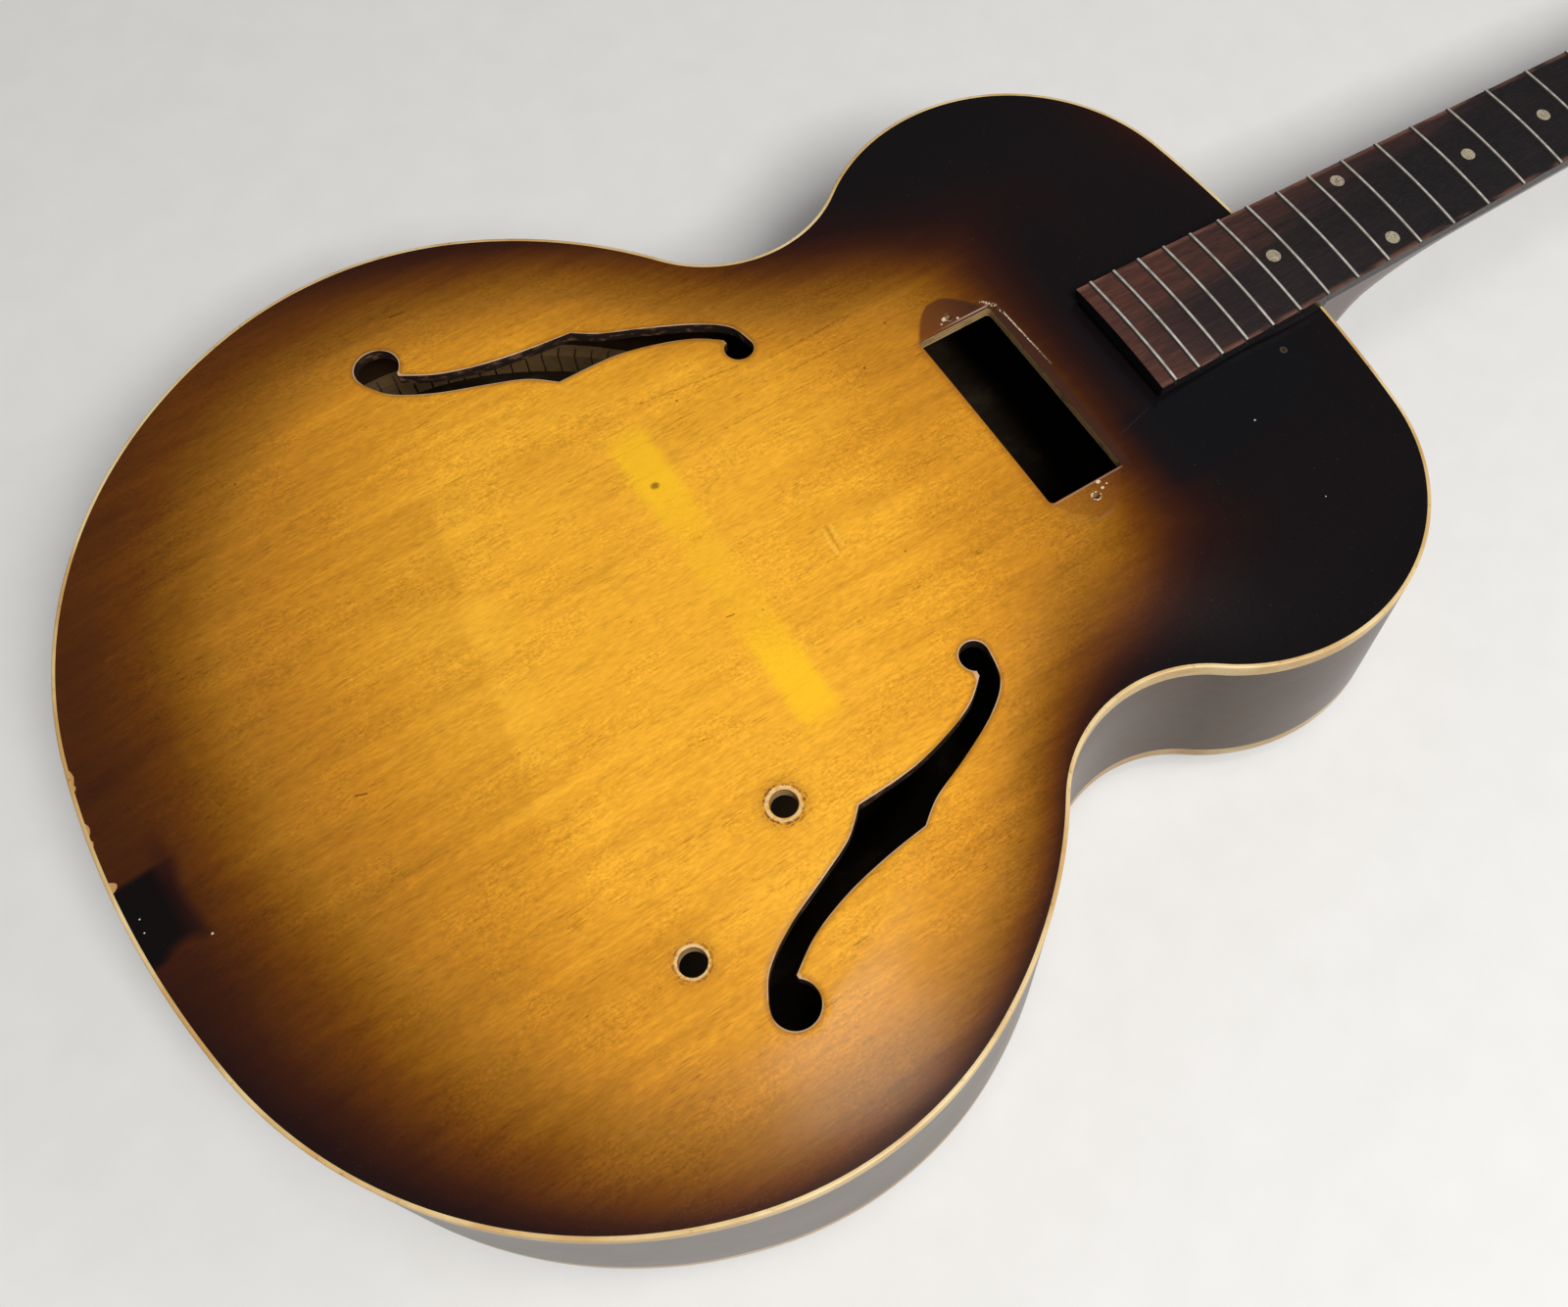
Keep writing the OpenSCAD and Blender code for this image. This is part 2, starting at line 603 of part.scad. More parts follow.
module fingerboard() color("#4a2a22") part_frame() on_board() difference() {
    intersection() {
        linear_extrude(board_t) board_plan();
        camber();
    }
    for (n = [1 : fret_count])
        translate([fret_x(n) - slot_w / 2, -far, board_t - slot_depth - board_edge_drop])
            cube([slot_w, 2 * far, tall]);
    for (d = dots) translate([dot_x(d[0]), d[1], board_t - dot_t]) cylinder(r = dot_d / 2, h = tall, $fn = dot_fn);
    side_dot_plugs();
}
module side_dots() color("ivory") part_frame() on_board() intersection() {
    side_dot_plugs();
    linear_extrude(board_t) board_plan();
}
module dot(d) color("ivory") part_frame() on_board() intersection() {
    translate([dot_x(d[0]), d[1], board_t - dot_t]) cylinder(r = dot_d / 2, h = 2 * dot_t, $fn = dot_fn);
    camber();
}
// A crown bent to the camber with a tang below it, cut off flush with the board's edges
crown_r = (fret_h * fret_h + fret_w * fret_w / 4) / (2 * fret_h);
module fret_profile() {
    intersection() {
        translate([camber_r + fret_h - crown_r, 0]) circle(crown_r);
        translate([camber_r, -fret_w]) square([fret_w, 2 * fret_w]);
    }
    translate([camber_r - tang_depth, -tang_w / 2]) square([tang_depth + eps, tang_w]);
}
module fret(n) color("silver") part_frame() on_board() intersection() {
    translate([fret_x(n), 0, camber_z]) rotate([0, 90, 0]) rotate_extrude($fn = camber_fn) fret_profile();
    linear_extrude(board_t + 2 * fret_h) board_plan();
}

nut_h = 8.2;
nut_front_h = 7.4;
nut_slots = 6;
nut_slot_r = 0.6;
string_spread = 35;
module nut() color("#d8cfae") part_frame() on_board() difference() {
    translate([0, nut_w / 2, 0]) rotate([90, 0, 0]) linear_extrude(nut_w)
        polygon([[nut_x, 0], [head_x, 0], [head_x, nut_front_h - 1], [head_x - 1.5, nut_front_h], [nut_x, nut_h]]);
    for (k = [0 : nut_slots - 1])
        translate([nut_x - 1, string_spread * (k / (nut_slots - 1) - 0.5), nut_front_h + 0.2])
            rotate([0, 90, 0]) cylinder(r = nut_slot_r, h = nut_t + 2);
}

// A thin wedge that carries the end of the board above the arched top
riser_steps = 8;
riser_from = 1 - board_over_body;
module fingerboard_riser() color("#151210") part_frame() {
    xs = [for (k = [0 : riser_steps]) riser_from * (1 - k / riser_steps)];
    difference() {
        rotate([90, 0, 0]) translate([0, 0, -board_end_w / 2]) linear_extrude(board_end_w) polygon(concat(
            [for (x = xs) [x, mid_arch_z(x, 0, arch_h) + glue / 3]],
            [[0, glue_z(0)], [riser_from, glue_z(riser_from)]]
        ));
        translate([-board_over_body, board_half_w(0) - 0.3, -tall]) cube([far, far, 2 * tall]);
        translate([-board_over_body, 0.3 - board_half_w(0) - far, -tall]) cube([far, far, 2 * tall]);
        mortise();
    }
}

top_plate();
back_plate();
rim_bass();
rim_treble();
head_block();
tail_block();
top_lining_bass();
top_lining_treble();
back_lining_bass();
back_lining_treble();
tone_bar_bass();
tone_bar_treble();
top_binding();
back_binding();
neck();
heel_cap();
headstock_core();
headstock_wing_bass();
headstock_wing_treble();
headstock_veneer();
truss_rod();
truss_rod_nut();
truss_rod_washer();
truss_rod_fillet();
fingerboard();
fingerboard_riser();
nut();
side_dots();
for (n = [1 : fret_count]) fret(n);
for (d = dots) dot(d);
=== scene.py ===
import json
import math

import bmesh
import bpy
import numpy as np
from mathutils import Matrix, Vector
from mathutils.geometry import delaunay_2d_cdt


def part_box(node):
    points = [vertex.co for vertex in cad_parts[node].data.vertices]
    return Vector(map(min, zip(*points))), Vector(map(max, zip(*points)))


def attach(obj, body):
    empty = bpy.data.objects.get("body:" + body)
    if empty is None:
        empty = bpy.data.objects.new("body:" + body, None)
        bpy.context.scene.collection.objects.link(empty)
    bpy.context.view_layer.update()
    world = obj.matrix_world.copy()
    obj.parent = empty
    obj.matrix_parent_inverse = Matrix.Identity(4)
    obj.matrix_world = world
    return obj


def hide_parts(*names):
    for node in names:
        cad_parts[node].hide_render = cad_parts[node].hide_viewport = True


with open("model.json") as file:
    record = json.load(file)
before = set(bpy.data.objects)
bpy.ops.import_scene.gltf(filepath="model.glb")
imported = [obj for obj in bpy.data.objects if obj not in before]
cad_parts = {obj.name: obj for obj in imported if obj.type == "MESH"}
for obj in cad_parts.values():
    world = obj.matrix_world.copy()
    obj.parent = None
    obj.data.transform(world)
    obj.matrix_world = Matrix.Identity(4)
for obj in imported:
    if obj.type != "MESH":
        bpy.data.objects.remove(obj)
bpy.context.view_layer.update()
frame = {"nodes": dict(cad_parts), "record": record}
nodes = frame["nodes"]

# ---- Joint frame: millimetres, x = 0 at the neck joint and towards the headstock, y towards the bass side,
# z = 0 at the top edge of the rim. Every size below is in this frame.
MM = 0.001
ring_low, ring_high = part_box("top_binding")
JOINT_X = ring_high.x
RIM_Z = ring_high.z
BODY_L = (ring_high.x - ring_low.x) / MM

SIDE_ARCS = [(358, 10.5), (175, 63), (135, 41.5), (176, 27.5), (-54, 91), (83, 120.5)]
ARCH_H, ARCH_X, ARCH_REACH_X, ARCH_REACH_Y, ARCH_EDGE_W = 12, -291.4, 234, 173, 55
BACK_LEVEL = 11
PLATE_T = 5
RIM_H = 86
RIM_T = 3
BINDING_T = 1.6
BINDING_H = 6.5
MORTISE_HALF_W, MORTISE_BACK_HALF_W, MORTISE_L = 12.2, 15.7, 24.2
TAIL_PIN_Z = -RIM_H / 2
TAIL_PIN_R = 4
TAIL_SCREWS = [(0, 14), (9, -12), (-9, -12)]
TAIL_SCREW_R = 1.2
SOCKET_ARC, SOCKET_ALONG, SOCKET_R = 1, 0.3, 4.8
ROUT_X, ROUT_Y, ROUT_W, ROUT_L, ROUT_R = -136.6, -0.25, 34.2, 88.9, 2
PICKUP_SCREWS, PICKUP_SCREW_R = [(ROUT_X, 48.5), (ROUT_X, -50.8)], 1.3
CONTROL_HOLES, CONTROL_HOLE_R = [(-301.75, -90.4), (-356.1, -119.9)], 5.0
OUTLINE_STEP = 3.0
MIRROR = np.array([1, -1])


def metres(points):
    """Joint-frame millimetres as row-frame metres."""
    p = np.asarray(points, float) * MM
    return p + np.array([JOINT_X, 0, RIM_Z])


def eased(t):
    t = np.clip(t, 0, 1)
    return t * t * (3 - 2 * t)


# ---- Outline: a chain of tangent arcs from the tail to the neck joint
def right_of(heading):
    return np.array([math.sin(heading), -math.cos(heading)])


def walk_arcs():
    """Each arc of the bass side as (radius, turn, centre, heading at its start), the closing arc last."""
    walked = []
    point, heading = np.array([-BODY_L, 0.0]), math.pi / 2
    for radius, turn in SIDE_ARCS:
        bend = math.copysign(1, radius)
        centre = point + radius * right_of(heading)
        walked.append((radius, math.radians(turn), centre, heading))
        heading -= bend * math.radians(turn)
        point = centre - radius * right_of(heading)
    radius = point[1] / math.cos(heading)
    walked.append((radius, math.pi / 2 + heading, point + radius * right_of(heading), heading))
    return walked


ARCS = walk_arcs()


def on_arc(i, f):
    """The outline's point and inward direction, a share f along arc i."""
    radius, turn, centre, heading = ARCS[i]
    inward = right_of(heading - math.copysign(1, radius) * f * turn)
    return centre - radius * inward, inward


def bass_side(step):
    """Points and inward directions about step mm apart, from the tail to the neck joint."""
    found = []
    for i, (radius, turn, _, _) in enumerate(ARCS):
        count = max(2, math.ceil(abs(radius) * turn / step))
        found += [on_arc(i, k / count) for k in range(count)]
    found.append((np.array([0.0, 0.0]), np.array([-1.0, 0.0])))
    return np.array([p for p, _ in found]), np.array([n for _, n in found])


def whole_side(step):
    """The same, all the way round by the bass side and back by the treble side."""
    sides = bass_side(step)
    return [np.vstack([side, side[-2:0:-1] * MIRROR]) for side in sides]


FINE_EDGE = whole_side(1.0)[0]


def nearest(points, line):
    """Distance from each point to the nearest of a line's points."""
    best = np.full(len(points), 1e9)
    for start in range(0, len(line), 64):
        part = line[start:start + 64]
        gaps = np.hypot(points[:, None, 0] - part[None, :, 0], points[:, None, 1] - part[None, :, 1])
        best = np.minimum(best, gaps.min(1))
    return best


def arch(points, depth, level):
    along, across = (points[:, 0] - ARCH_X) / ARCH_REACH_X, points[:, 1] / ARCH_REACH_Y
    dome = ARCH_H * np.exp(-along ** 2 - across ** 2)
    return np.minimum(level, dome) * eased(depth / ARCH_EDGE_W)


BURST_X, BURST_SPAN = -300, 150


def burst(points, depth):
    """How far the sprayed sunburst has faded to amber: 0 in its black border, 1 in the middle of the top.

    u and v are the place along and across the body, in spans from a point just behind the bridge."""
    x, y = points[:, 0], points[:, 1]
    u, v = (x - BURST_X) / BURST_SPAN, y / BURST_SPAN
    along = 2.41 + 0.67 * u - 4.99 * u ** 2 - 0.84 * u ** 3 + 1.28 * u ** 4
    across = -(2.46 + 0.13 * u - 1.7 * u ** 2) * v ** 2 + (0.42 - 0.57 * u) * v ** 4
    slant = (0.06 * u + 0.18 * u ** 2 - 0.08) * v - (0.31 + 0.19 * u) * v ** 3
    border = 1.77 * np.minimum(depth, 60) / 60 + (0.24 - 0.87 * np.abs(v) + 0.7 * v) * np.exp(-depth / 13)
    by_pickup = 1.2 * np.exp(-((x + 149) / 27) ** 2 - (y / 85) ** 2)
    by_board = -1.2 * np.exp(-((x + 84) / 12) ** 2 - (y / 60) ** 2)
    return 1 / (1 + np.exp(-(along + across + slant + border + by_pickup + by_board)))


# ---- Holes in the top, each as a closed loop of points
NECK_EYE, NECK_EYE_R = (-214.5, -80.5), 5.7
TAIL_EYE, TAIL_EYE_R = (-335.5, -150.7), 8.5
INNER_NECK_EDGE = [(-217.2, -87.8), (-226.2, -94.8), (-240, -100.2), (-258, -104.2), (-280.5, -105)]
INNER_TAIL_EDGE = [(-280.5, -105), (-290, -113.2), (-304, -119.6), (-322, -127.2), (-336.2, -136.2),
                   (-343.2, -146.5)]
OUTER_TAIL_EDGE = [(-330.2, -142.5), (-317.5, -134.6), (-301, -128.9), (-283, -125.5), (-265.5, -123.6)]
OUTER_NECK_EDGE = [(-265.5, -123.6), (-256, -117), (-240, -110.4), (-222, -101.6), (-211.5, -92.6),
                   (-208.8, -80.9)]


CURVE_STEPS = 8
EYE_GAP_DEGREES, EYE_POINTS = 6, 34


def through(points):
    """A smooth curve through every point but the last."""
    p = np.array([points[0], *points, points[-1]], float)
    made = []
    for k in range(1, len(p) - 2):
        a, b, c, e = p[k - 1:k + 3]
        for t in np.arange(CURVE_STEPS) / CURVE_STEPS:
            made.append(0.5 * (2 * b + (c - a) * t + (2 * a - 5 * b + 4 * c - e) * t ** 2
                               + (3 * b - a - 3 * c + e) * t ** 3))
    return made


def arc_points(centre, radius, from_deg, to_deg, count):
    angles = np.radians(np.linspace(from_deg, to_deg, count))
    return [np.array([centre[0] + radius * math.cos(a), centre[1] + radius * math.sin(a)]) for a in angles]


def bearing(centre, point):
    return math.degrees(math.atan2(point[1] - centre[1], point[0] - centre[0]))


def round_eye(centre, radius, leave, join):
    """The long way round an eye, from the last point of one edge to the first of the next."""
    start, end = bearing(centre, leave), bearing(centre, join)
    while end <= start:
        end += 360
    return arc_points(centre, radius, start + EYE_GAP_DEGREES, end - EYE_GAP_DEGREES, EYE_POINTS)


def treble_sound_hole():
    return np.array(
        through(INNER_NECK_EDGE) + through(INNER_TAIL_EDGE)
        + round_eye(TAIL_EYE, TAIL_EYE_R, INNER_TAIL_EDGE[-1], OUTER_TAIL_EDGE[0])
        + through(OUTER_TAIL_EDGE) + through(OUTER_NECK_EDGE)
        + round_eye(NECK_EYE, NECK_EYE_R, OUTER_NECK_EDGE[-1], INNER_NECK_EDGE[0])
    )


def circle(centre, radius, count):
    return np.array(arc_points(centre, radius, 0, 360, count + 1)[:-1])


def rout():
    corners = []
    for k, (sx, sy) in enumerate([(1, 1), (-1, 1), (-1, -1), (1, -1)]):
        middle = (ROUT_X + sx * (ROUT_W / 2 - ROUT_R), ROUT_Y + sy * (ROUT_L / 2 - ROUT_R))
        corners.append(arc_points(middle, ROUT_R, 90 * k, 90 * (k + 1), 9))
    made = []
    for k, corner in enumerate(corners):
        made += corner
        start, end = corner[-1], corners[(k + 1) % 4][0]
        count = int(np.linalg.norm(end - start) / 2)
        made += [start + (end - start) * j / count for j in range(1, count)]
    return np.array(made)


def outward_of(loop):
    """Unit directions away from a counter-clockwise loop's inside, at each of its points."""
    ahead, behind = np.roll(loop, -1, 0) - loop, loop - np.roll(loop, 1, 0)
    ahead /= np.linalg.norm(ahead, axis=1)[:, None]
    behind /= np.linalg.norm(behind, axis=1)[:, None]
    tangent = ahead + behind
    tangent /= np.linalg.norm(tangent, axis=1)[:, None]
    return np.column_stack([tangent[:, 1], -tangent[:, 0]])


def counter_clockwise(loop):
    x, y = loop[:, 0], loop[:, 1]
    area = np.sum(x * np.roll(y, -1) - np.roll(x, -1) * y)
    return loop if area > 0 else loop[::-1]


def inside(points, loop):
    found = np.zeros(len(points), bool)
    px, py = points[:, 0], points[:, 1]
    for (ax, ay), (bx, by) in zip(loop, np.roll(loop, 1, 0)):
        if ay != by:
            found ^= ((ay > py) != (by > py)) & (px < (bx - ax) * (py - ay) / (by - ay) + ax)
    return found


# ---- Mesh helpers
SHARP_ANGLE = math.radians(38)


def make_piece(name, points, faces, materials, face_slots=None, values=None):
    """A smooth-shaded object from joint-frame points. values are named vertex numbers."""
    mesh = bpy.data.meshes.new(name)
    mesh.from_pydata([tuple(p) for p in metres(points)], [], [tuple(int(i) for i in f) for f in faces])
    for material in materials:
        mesh.materials.append(material)
    if face_slots is not None:
        mesh.polygons.foreach_set("material_index", np.asarray(face_slots, np.int32))
    mesh.polygons.foreach_set("use_smooth", np.ones(len(mesh.polygons), bool))
    mesh.set_sharp_from_angle(angle=SHARP_ANGLE)
    for label, numbers in (values or {}).items():
        attribute = mesh.attributes.new(label, "FLOAT", "POINT")
        attribute.data.foreach_set("value", np.asarray(numbers, np.float32))
    mesh.update()
    piece = bpy.data.objects.new(name, mesh)
    bpy.context.scene.collection.objects.link(piece)
    return piece


def stand_for(piece, node):
    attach(piece, "root")
    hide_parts(node)


def hex_grid(spacing, low, high):
    rows = []
    for k, y in enumerate(np.arange(low[1], high[1], spacing * math.sqrt(0.75))):
        xs = np.arange(low[0] + (k % 2) * spacing / 2, high[0], spacing)
        rows.append(np.column_stack([xs, np.full(len(xs), y)]))
    return np.vstack(rows)


def fill(outer, loops, spacing):
    """Triangles, facing up, between an outer loop and holes. Points start with the loops' own, in order."""
    rims = [outer, *loops]
    fixed = np.vstack(rims)
    free = hex_grid(spacing, outer.min(0), outer.max(0))
    free = free[inside(free, outer)]
    for loop in loops:
        free = free[~inside(free, loop)]
    free = free[nearest(free, fixed) > spacing * 0.5]
    points = np.vstack([fixed, free])
    edges, start = [], 0
    for loop in rims:
        edges += [(start + k, start + (k + 1) % len(loop)) for k in range(len(loop))]
        start += len(loop)
    found = delaunay_2d_cdt([Vector(p) for p in points], edges, [], 0, 1e-5)
    flat = np.array([tuple(v) for v in found[0]])
    triangles = np.array([f for f in found[2] if len(f) == 3])
    a, b, c = (flat[triangles[:, k]] for k in range(3))
    middle = (a + b + c) / 3
    keep = inside(middle, outer)
    for loop in loops:
        keep &= ~inside(middle, loop)
    area = (b[:, 0] - a[:, 0]) * (c[:, 1] - a[:, 1]) - (c[:, 0] - a[:, 0]) * (b[:, 1] - a[:, 1])
    keep &= np.abs(area) > 1e-7
    triangles = triangles[keep]
    triangles[area[keep] < 0] = triangles[area[keep] < 0][:, ::-1]
    if len(flat) != len(points):
        raise RuntimeError(f"the fill moved points: {len(points)} became {len(flat)}")
    return flat, triangles


FILLET_ANGLES = np.radians([0, 22, 45, 68, 90])
LACQUERED_FILLET = math.radians(50)
OUTSIDE, DARK_WALL, PLY_WALL, BARE = range(4)
TOP_SPACING, BACK_SPACING, UNDER_SPACING_RATIO = 3.2, 5.0, 2.5


def plate(name, node, level, holes, materials, spacing):
    """An arched plate, top up. holes are (loop, fillet radius, wall's material slot)."""
    edge, inward = whole_side(OUTLINE_STEP)
    outer = edge + BINDING_T * inward
    beside = np.abs(outer[:, 1]) > MORTISE_HALF_W
    at_neck = outer[:, 0] > -MORTISE_L
    outer = outer[beside | ~at_neck]
    if level == ARCH_H:
        joint = int(np.argmax(outer[:, 1] * (outer[:, 0] > -MORTISE_L) < 0))
        notch = [(-BINDING_T, MORTISE_HALF_W), (-MORTISE_L, MORTISE_BACK_HALF_W),
                 (-MORTISE_L, -MORTISE_BACK_HALF_W), (-BINDING_T, -MORTISE_HALF_W)]
        outer = np.insert(outer, joint, notch, 0)
    loops = [counter_clockwise(loop) for loop, _, _ in holes]
    starts = [loop + outward_of(loop) * fillet for loop, (_, fillet, _) in zip(loops, holes)]
    flat, top_faces = fill(outer, starts, spacing)
    under_flat, under_faces = fill(outer, loops, spacing * UNDER_SPACING_RATIO)

    depth = nearest(flat, FINE_EDGE)
    parts = [np.column_stack([flat, arch(flat, depth, level)])]
    below = [np.zeros(len(flat))]
    faces, slots = [tuple(f) for f in top_faces], [OUTSIDE] * len(top_faces)
    count = len(flat)
    under_start = count
    under_depth = nearest(under_flat, FINE_EDGE)
    parts.append(np.column_stack([under_flat, arch(under_flat, under_depth, level) - PLATE_T]))
    below.append(np.full(len(under_flat), PLATE_T))
    faces += [tuple(under_start + i for i in f[::-1]) for f in under_faces]
    slots += [BARE] * len(under_faces)
    count += len(under_flat)

    def join(upper, lower, number, slot_index, turned):
        for k in range(number):
            m = (k + 1) % number
            quad = (upper + k, lower + k, lower + m, upper + m)
            faces.append(quad[::-1] if turned else quad)
            slots.append(slot_index)

    outer_turns = counter_clockwise(outer) is outer
    join(0, under_start, len(outer), BARE, not outer_turns)
    top_ring, under_ring = len(outer), under_start + len(outer)
    for loop, (_, fillet, wall) in zip(loops, holes):
        number = len(loop)
        away = outward_of(loop)
        upper = top_ring
        for angle in FILLET_ANGLES[1:]:
            ring = loop + away * fillet * (1 - math.sin(angle))
            drop = fillet * (1 - math.cos(angle))
            ring_depth = nearest(ring, FINE_EDGE)
            parts.append(np.column_stack([ring, arch(ring, ring_depth, level) - drop]))
            below.append(np.full(number, drop))
            join(upper, count, number, OUTSIDE if angle < LACQUERED_FILLET else wall, True)
            upper = count
            count += number
        join(upper, under_ring, number, wall, True)
        top_ring += number
        under_ring += number

    points = np.vstack(parts)
    plan = points[:, :2]
    edge_gap = nearest(plan, FINE_EDGE)
    values = {"edge_gap": edge_gap, "below": np.concatenate(below), "burst": burst(plan, edge_gap)}
    if holes:
        # the sound holes come first in the list and have stained edges of their own, with a pale line that is
        # partly wear and partly painted highlight
        values["sound_gap"] = np.minimum(nearest(plan, loops[0]), nearest(plan, loops[1]))
    if level != ARCH_H:
        points = points * np.array([1, 1, -1]) - np.array([0, 0, RIM_H])
        faces = [f[::-1] for f in faces]
    piece = make_piece(name, points, faces, materials, slots, values)
    stand_for(piece, node)
    return piece


def sweep(name, profile, points, inward, closed, material):
    """A closed profile of (depth, z), clockwise seen from the run's start, carried along the outline."""
    number, stations = len(profile), len(points)
    made = []
    for point, towards in zip(points, inward):
        for depth, z in profile:
            made.append((*(point + depth * towards), z))
    faces = []
    for s in range(stations if closed else stations - 1):
        n = (s + 1) % stations
        for k in range(number):
            m = (k + 1) % number
            faces.append((s * number + k, n * number + k, n * number + m, s * number + m))
    if not closed:
        faces.append(tuple(range(number)))
        faces.append(tuple((stations - 1) * number + k for k in reversed(range(number))))
    return make_piece(name, made, faces, [material])


def rod_mesh(centre, direction, radius, length, sides=48):
    """A plain cylinder through centre, used only to cut holes."""
    made = bmesh.new()
    bmesh.ops.create_cone(made, cap_ends=True, segments=sides, radius1=radius * MM, radius2=radius * MM,
                          depth=length * MM)
    turn = Vector((0, 0, 1)).rotation_difference(Vector(direction)).to_matrix().to_4x4()
    bmesh.ops.transform(made, matrix=turn, verts=made.verts)
    bmesh.ops.translate(made, vec=Vector(metres([centre])[0]), verts=made.verts)
    mesh = bpy.data.meshes.new("cutter")
    made.to_mesh(mesh)
    made.free()
    cutter = bpy.data.objects.new("cutter", mesh)
    bpy.context.scene.collection.objects.link(cutter)
    return cutter


def apply_modifiers(piece):
    bpy.context.view_layer.update()
    changed = bpy.data.meshes.new_from_object(piece.evaluated_get(bpy.context.evaluated_depsgraph_get()))
    piece.modifiers.clear()
    piece.data = changed


def cut(piece, cutters):
    for cutter in cutters:
        step = piece.modifiers.new("cut", "BOOLEAN")
        step.object = cutter
        step.solver = "EXACT"
    apply_modifiers(piece)
    for cutter in cutters:
        bpy.data.objects.remove(cutter)


# ---- Materials: node expressions over the joint frame
def srgb(*channels):
    """A colour from 0-255 display values, as the linear numbers that nodes take."""
    shares = [c / 255 for c in channels]
    return tuple(s / 12.92 if s <= 0.04045 else ((s + 0.055) / 1.055) ** 2.4 for s in shares) + (1.0,)


class Field:
    """A socket that can be used in arithmetic."""

    def __init__(self, shade, socket):
        self.shade, self.socket = shade, socket

    def math(self, operation, other, swapped=False):
        first, second = (other, self) if swapped else (self, other)
        return self.shade.node("Math", {0: first, 1: second}, operation=operation)

    def __add__(self, other):
        return self.math("ADD", other)

    def __sub__(self, other):
        return self.math("SUBTRACT", other)

    def __mul__(self, other):
        return self.math("MULTIPLY", other)

    def __truediv__(self, other):
        return self.math("DIVIDE", other)

    def __rsub__(self, other):
        return self.math("SUBTRACT", other, swapped=True)

    __radd__, __rmul__ = __add__, __mul__

    def least(self, other):
        return self.math("MINIMUM", other)

    def most(self, other):
        return self.math("MAXIMUM", other)

    def power(self, other):
        return self.math("POWER", other)

    def size(self):
        return self.math("ABSOLUTE", 0.0)

    def step(self, low, high):
        """0 up to low and 1 from high on, eased between them. low may be the larger."""
        flip = low > high
        return self.shade.node(
            "MapRange", {"Value": self, "From Min": min(low, high), "From Max": max(low, high),
                         "To Min": 1.0 if flip else 0.0, "To Max": 0.0 if flip else 1.0},
            interpolation_type="SMOOTHSTEP")


